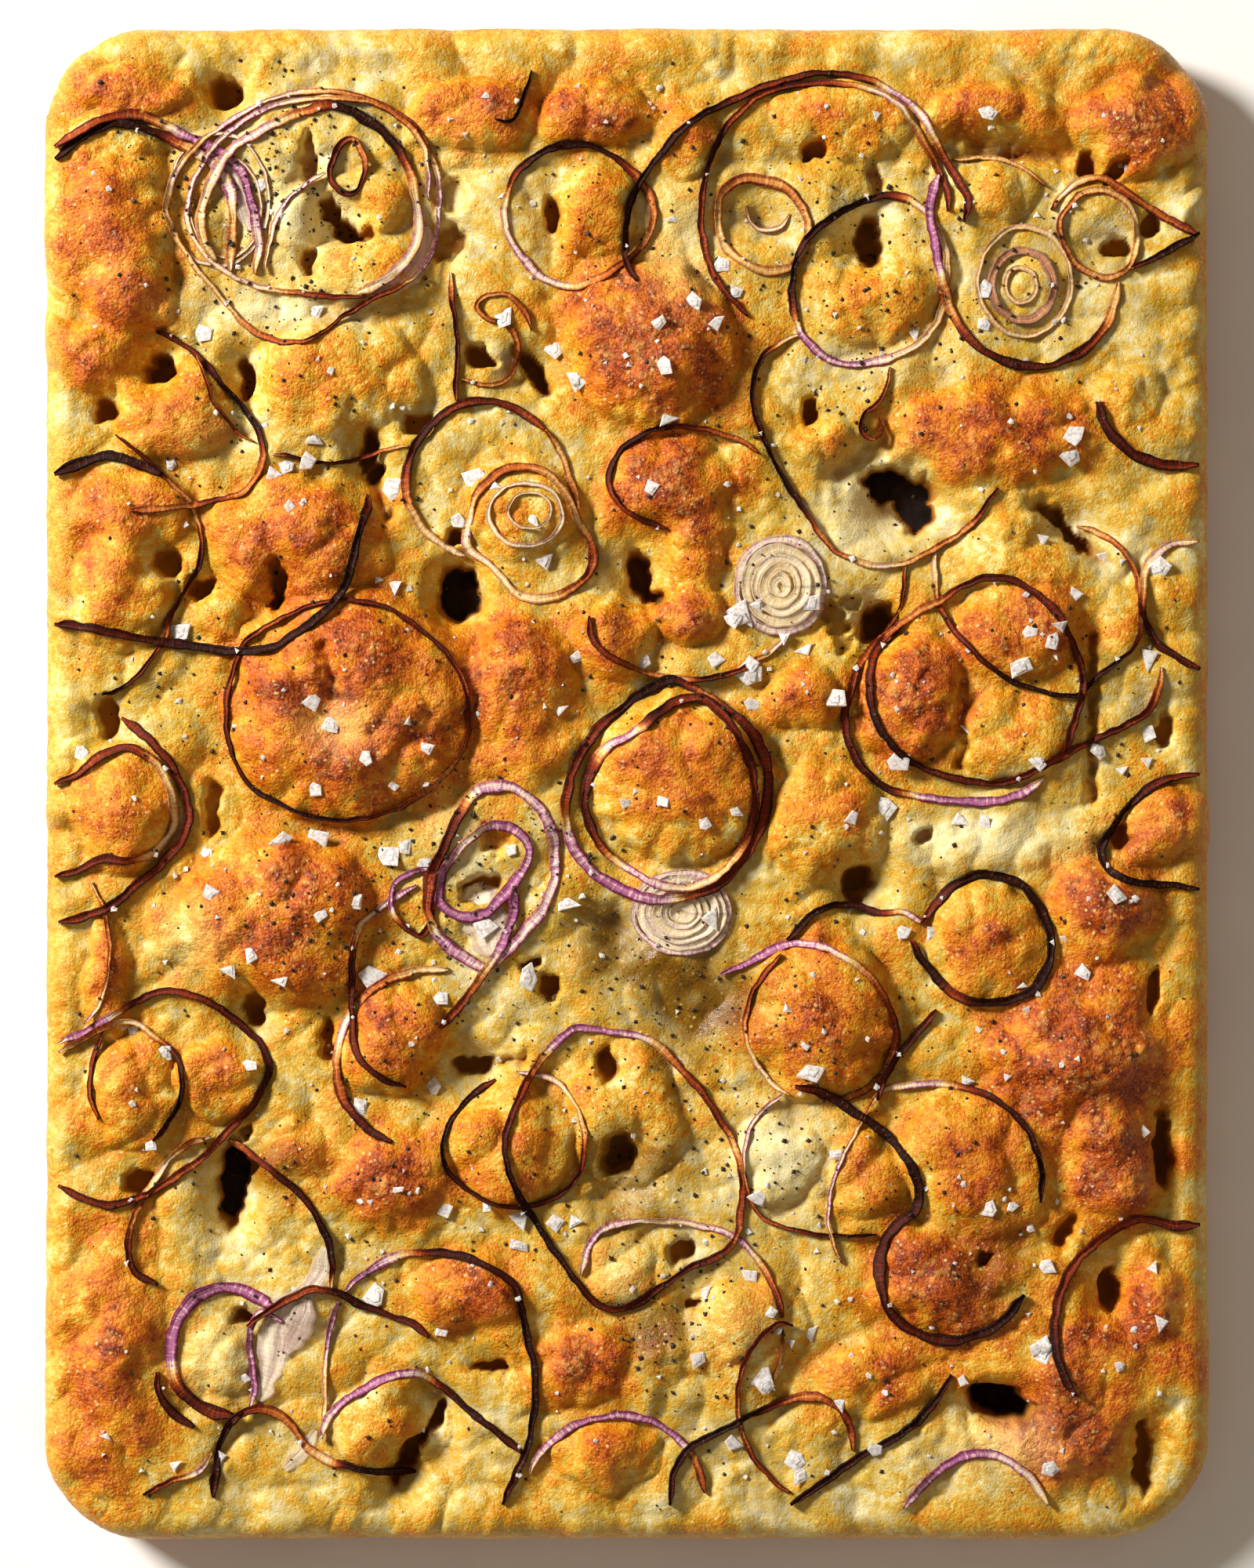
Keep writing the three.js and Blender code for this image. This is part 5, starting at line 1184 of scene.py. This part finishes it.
def onion_band(points, width, whole, seed, thickness=ONION_THICKNESS, thin=0.0):
    """Points, faces and values of one onion band that lies along a course on the pile."""
    course = smooth_course(points, whole)
    x, y, roast = course[:, 0], course[:, 1], np.clip(course[:, 2], 0, 4)
    run = np.arange(len(x)) * ONION_STEP
    run_x, run_y = run, 0 * run
    if whole:
        turn = 2 * np.pi * np.arange(len(x)) / len(x)
        run_x, run_y = np.cos(turn) * run[-1] / TURN, np.sin(turn) * run[-1] / TURN

    def along_band(*parts):
        """Noise along the band, which meets itself on a whole ring: strength, size, seed."""
        return noises(run_x, run_y, *[(strength, size, seed + k) for strength, size, k in parts])

    side_x, side_y = sideways(x, y, whole)
    wobble = along_band((0.35, 5, 0), (0.15, 1.8, 1))
    x, y = x + side_x * wobble, y + side_y * wobble
    half = BAND_WIDTH * width / 2 * (1 + along_band((0.42, 9, 2), (0.16, 2.2, 3)))
    half *= 1 - CHARRED_WIDTH * step(2.5, 4, roast)
    if not whole:
        half *= TIP_WIDTH + (1 - TIP_WIDTH) * step(-0.5, 4, np.minimum(run, run[-1] - run))

    under = bridged(pile_at(x, y), BRIDGE_STEPS)
    rest = np.maximum(eased(under, REST_WINDOW, whole), under - SINK)
    rest = eased(rest, LAST_WINDOW, whole) + LIFT
    tilt = along_band((0.35, 14, 4), (0.2, 4, 5))
    thick = thickness * (0.6 + 0.5 * step(1, 3, roast)) * (1 + along_band((0.25, 3, 6)))
    near = [pile_at(x + side_x * half * s, y + side_y * half * s) for s in (-1, 1)]
    slope = np.clip((near[1] - near[0]) / (2 * half), -STEEPEST, STEEPEST) * 0.8 + tilt
    rows = []
    for place, height in SECTION:
        ripple = 0.1 * noise(run_x + 40 * place, run_y, 1.3, seed + 7)
        rows.append(np.stack([x + side_x * half * place, y + side_y * half * place,
                              rest + slope * half * place + thick * height + ripple], 1))
    points = np.stack(rows, 1).reshape(-1, 3)
    raise_pile(x, y, rest + 0.6 * thick, width / 2)

    n, m = len(x), len(SECTION)
    ids = np.arange(n * m).reshape(n, m)
    ring_ids = np.concatenate([ids, ids[:1]]) if whole else ids
    a, b = ring_ids[:-1], ring_ids[1:]
    quads = np.stack([a, b, np.roll(b, -1, 1), np.roll(a, -1, 1)], 2).reshape(-1, 4)
    triangles = []
    if not whole:
        for k in range(1, m - 1):
            triangles.append((ids[0, 0], ids[0, k], ids[0, k + 1]))
            triangles.append((ids[-1, 0], ids[-1, k + 1], ids[-1, k]))
    values = {"roast": np.repeat(roast / 4, m), "across": np.tile([p for p, _ in SECTION], n),
              "along": np.repeat(run + SEED_RUN * seed, m), "thin": np.full(n * m, thin)}
    return points, quads, triangles, values


def joined(parts):
    """One set of points, faces and values from several."""
    points, quads, triangles, values, count = [], [], [], {}, 0
    for part in parts:
        points.append(np.asarray(part[0]))
        if len(part[1]):
            quads.append(np.asarray(part[1]) + count)
        if len(part[2]):
            triangles.append(np.asarray(part[2]) + count)
        for key, numbers in part[3].items():
            values.setdefault(key, []).append(numbers)
        count += len(part[0])
    return (np.concatenate(points), np.concatenate(quads) if quads else [],
            np.concatenate(triangles) if triangles else [],
            {key: np.concatenate(numbers) for key, numbers in values.items()})


def place_onion(name, parts, nodes=()):
    """One onion piece, and the CAD nodes that it stands for."""
    piece = make_mesh(name, *parts, ONION)
    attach(piece, "root")
    if nodes:
        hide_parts(*nodes)


def ellipse(cx, cy, rx, ry, roast):
    """A ring's course as points on an ellipse."""
    angles = [2 * math.pi * k / ELLIPSE_POINTS for k in range(ELLIPSE_POINTS)]
    return [(cx + rx * math.cos(a), cy + ry * math.sin(a), roast) for a in angles]


# Slices through an onion's heart: name, middle, then each ring's two radii, width and roast.
SLICES = [
    ("upper", (39.5, 51), [(11.2, 12.0, 2.4, 0.6), (9.0, 9.4, 3.2, 1.1), (6.5, 7.0, 2.6, 0.9),
                           (4.3, 4.8, 2.8, 1.15), (1.8, 2.2, 3.0, 1.0)]),
    ("lower", (14, -33), [(12.4, 10.4, 1.8, 0.5), (10.6, 8.8, 2.5, 0.85), (8.5, 7.0, 2.5, 0.7),
                          (6.5, 5.3, 2.3, 0.95), (4.5, 3.7, 2.3, 0.75), (2.2, 1.8, 2.8, 0.95)]),
]
SLICE_THIN, SLICE_SKIN_THIN = 0.6, 0.25    # how see-through a slice is, inside and at its skin

# Thin skins between rings: width, then the course as for ONIONS.
FILMS = [
    (6, [(-77.5, -119, 0.8), (-79, -126, 0.5), (-84, -132, 0.3), (-89, -137, 0.3)]),
    (9, [(-86, -131, 0.6), (-90, -140, 0.5), (-91, -149, 0.4), (-95, -158, 0.7)]),
    (8, [(-82, -132, 0.2), (-84, -139, 0.1), (-88, -146, 0.2)]),
    (13, [(-40, -26, 0.8), (-37, -34, 0.6), (-34, -44, 0.6)]),
    (5, [(-80, -166, 0.8), (-83, -171, 0.7), (-88, -176, 0.9)]),
    (6, [(-52, 144, 0.8), (-53, 136, 0.5), (-58, 129, 0.6), (-66, 126, 0.8)]),
    (5, [(-108, 164, 0.2), (-103, 158, 0.1), (-99, 150, 0.2), (-97, 142, 0.5)]),
]
FILM_THICKNESS, FILM_THIN = 0.35, 0.85

# Small rings inside others: x, y, two radii, width, roast.
INNER_RINGS = [
    (102, 129, 12, 14, 1.5, 1.3), (101.5, 128, 8, 9, 2.4, 2.2), (101, 128, 4, 4.6, 1.4, 1.4),
    (-26, 69, 9.5, 8, 1.4, 0.9), (-25, 70, 5.5, 4.6, 1.0, 1.1),
    (-105, 150, 13, 17, 0.9, 0.9), (-103, 148, 9, 13, 0.8, 1.0),
]
INNER_THICKNESS, INNER_THIN = 0.8, 0.22


def make_onions():
    """Skins and inner rings first, then slices, then the rings that lie on them."""
    parts = [onion_band(points, width, False, 700 + 20 * k, FILM_THICKNESS, FILM_THIN)
             for k, (width, points) in enumerate(FILMS)]
    place_onion("onion_films", joined(parts))
    parts = [onion_band(ellipse(cx, cy, rx, ry, roast), width, True, 900 + k, INNER_THICKNESS,
                        INNER_THIN)
             for k, (cx, cy, rx, ry, width, roast) in enumerate(INNER_RINGS)]
    place_onion("onion_inner_rings", joined(parts))
    for place, (cx, cy), layers in SLICES:
        parts = [onion_band(ellipse(cx, cy, rx, ry, roast), width, True, 500 + k, INNER_THICKNESS,
                            SLICE_THIN if k else SLICE_SKIN_THIN)
                 for k, (rx, ry, width, roast) in enumerate(layers)]
        nodes = [f"onion_slice_{place}_{part}" for part in ("outer", "inner")]
        place_onion(f"onion_slice_{place}_cut", joined(parts), nodes)
    for k, (name, whole, width, points) in enumerate(ONIONS):
        nodes = [name] if name.startswith("onion_ring") else []
        parts = onion_band(points, width, whole, 1000 + 10 * k)
        place_onion(name + ("_roasted" if nodes else ""), parts, nodes)


# ---------------------------------------------------------------- salt and pepper

SALT_SEED = 77
PEPPER_SEED = 5
CHIPS = 2                  # smaller crystals on each large one
CHIP_SIZE = 0.5            # size of a chip and how far it may lie, as shares of the large crystal
CHIP_REACH = 0.3
CHIP_LIFT = 0.9
SALT_CRUMBS = 440
SALT_REACH = 0.46          # crumbs lie within this share of the loaf's length and width
CRUMB_SIZES = (0.7, 1.7)
CRUMB_LOWEST = 15.0        # no crumb of salt lies lower, inside a hole
CRUMB_SINK = 0.1
GRAINS_PER_COUNT = 3       # grains of pepper for each one that PEPPER lists


def flake(rng, x, y, across, lowest):
    """One crystal: a crooked flat plate, sometimes with a smaller step on it."""
    sides = rng.integers(3, 6)
    angles = np.sort(rng.uniform(0, 2 * np.pi, 1) + 2 * np.pi * (np.arange(sides)
                     + rng.uniform(-0.25, 0.25, sides)) / sides)
    radii = across / 2 * rng.uniform(0.85, 1.45, sides)
    thick = 0.2 + across * rng.uniform(0.03, 0.08)
    layers = [(1.0, 0.0), (1.04, 0.75 * thick), (0.82, thick)]
    if rng.random() < 0.5:
        layers += [(0.55, thick * 1.05), (0.5, thick * 1.5)]
    tilt = rng.uniform(-0.24, 0.24, 2)
    points = []
    for scale, height in layers:
        jitter = rng.uniform(-0.04, 0.04, (sides, 2)) * across
        px = np.cos(angles) * radii * scale + jitter[:, 0]
        py = np.sin(angles) * radii * scale + jitter[:, 1]
        pz = height + px * tilt[0] + py * tilt[1]
        points.append(np.stack([x + px, y + py, lowest + 0.2 + pz], 1))
    ids = np.arange(len(layers) * sides).reshape(len(layers), sides)
    quads = [band_quads(upper, lower) for lower, upper in zip(ids, ids[1:])]
    triangles = []
    for k in range(1, sides - 1):
        triangles.append((ids[0, 0], ids[0, k + 1], ids[0, k]))
        triangles.append((ids[-1, 0], ids[-1, k], ids[-1, k + 1]))
    return np.concatenate(points), np.concatenate(quads), triangles, {}


def place_crystals(name, parts, material, node=None):
    """One flat-shaded piece made of all the parts, and the CAD node that it stands for."""
    piece = make_mesh(name, *joined(parts), material)
    piece.data.shade_flat()
    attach(piece, "root")
    if node:
        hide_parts(node)


def make_salt():
    """A crystal with two smaller ones for each salt node, then the small flakes and crumbs."""
    rng = np.random.default_rng(SALT_SEED)
    for node in sorted(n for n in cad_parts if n.startswith("salt_flake")):
        low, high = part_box(node)
        x, y = (low[0] + high[0]) / 2 / MM, (low[1] + high[1]) / 2 / MM
        across = (high[0] - low[0]) / MM
        parts = [flake(rng, x, y, across, float(pile_at(x, y)))]
        for _ in range(CHIPS):
            dx, dy = rng.uniform(-CHIP_REACH, CHIP_REACH, 2) * across
            lowest = float(pile_at(x, y)) + CHIP_LIFT
            parts.append(flake(rng, x + dx, y + dy, across * CHIP_SIZE, lowest))
        place_crystals(node + "_crystal", parts, SALT_LOOK, node)
    small = [flake(rng, x, y, across, float(pile_at(x, y))) for x, y, across in SALT]
    for _ in range(SALT_CRUMBS):
        x = rng.uniform(-SALT_REACH, SALT_REACH) * LOAF_WIDTH
        y = rng.uniform(-SALT_REACH, SALT_REACH) * LOAF_LENGTH
        lowest = float(pile_at(x, y))
        if lowest > CRUMB_LOWEST:
            small.append(flake(rng, x, y, rng.uniform(*CRUMB_SIZES), lowest - CRUMB_SINK))
    place_crystals("salt_small_flakes", small, SALT_LOOK)


def grain(rng, x, y, size, lowest):
    """One grain of pepper: a crooked octahedron."""
    corners = np.array([(1, 0, 0), (0, 1, 0), (-1, 0, 0), (0, -1, 0), (0, 0, 1), (0, 0, -1)], float)
    corners *= size / 2 * rng.uniform(0.6, 1.25, (6, 1))
    turn = rng.uniform(0, np.pi)
    turned = np.stack([corners[:, 0] * math.cos(turn) - corners[:, 1] * math.sin(turn),
                       corners[:, 0] * math.sin(turn) + corners[:, 1] * math.cos(turn),
                       corners[:, 2] * 0.7], 1)
    faces = []
    for k in range(4):
        after = (k + 1) % 4
        faces += [(k, after, 4), (after, k, 5)]
    return turned + (x, y, lowest + size * 0.15), [], faces, {}


def make_pepper():
    """Grains scattered about the places that PEPPER lists, as one piece."""
    rng = np.random.default_rng(PEPPER_SEED)
    grains = []
    for cx, cy, spread, count in PEPPER:
        for _ in range(GRAINS_PER_COUNT * count):
            x, y = cx + spread * rng.normal(), cy + spread * rng.normal()
            if abs(x) > LOAF_WIDTH / 2 - RIM_INSET or abs(y) > LOAF_LENGTH / 2 - RIM_INSET:
                continue
            size = 0.5 + 1.2 * rng.random() ** 3
            grains.append(grain(rng, x, y, size, float(pile_at(x, y))))
    place_crystals("pepper_grains", grains, PEPPER_LOOK)


def make_floor():
    mesh = bpy.data.meshes.new("floor")
    corners = [(x * FLOOR_HALF, y * FLOOR_HALF, 0) for x, y in ((-1, -1), (1, -1), (1, 1), (-1, 1))]
    mesh.from_pydata(corners, [], [(0, 1, 2, 3)])
    mesh.materials.append(make_plain_material("pale_floor", FLOOR_COLORS, 30, 0.8))
    floor = bpy.data.objects.new("floor", mesh)
    link(floor)


make_bread()
make_onions()
make_salt()
make_pepper()
make_floor()
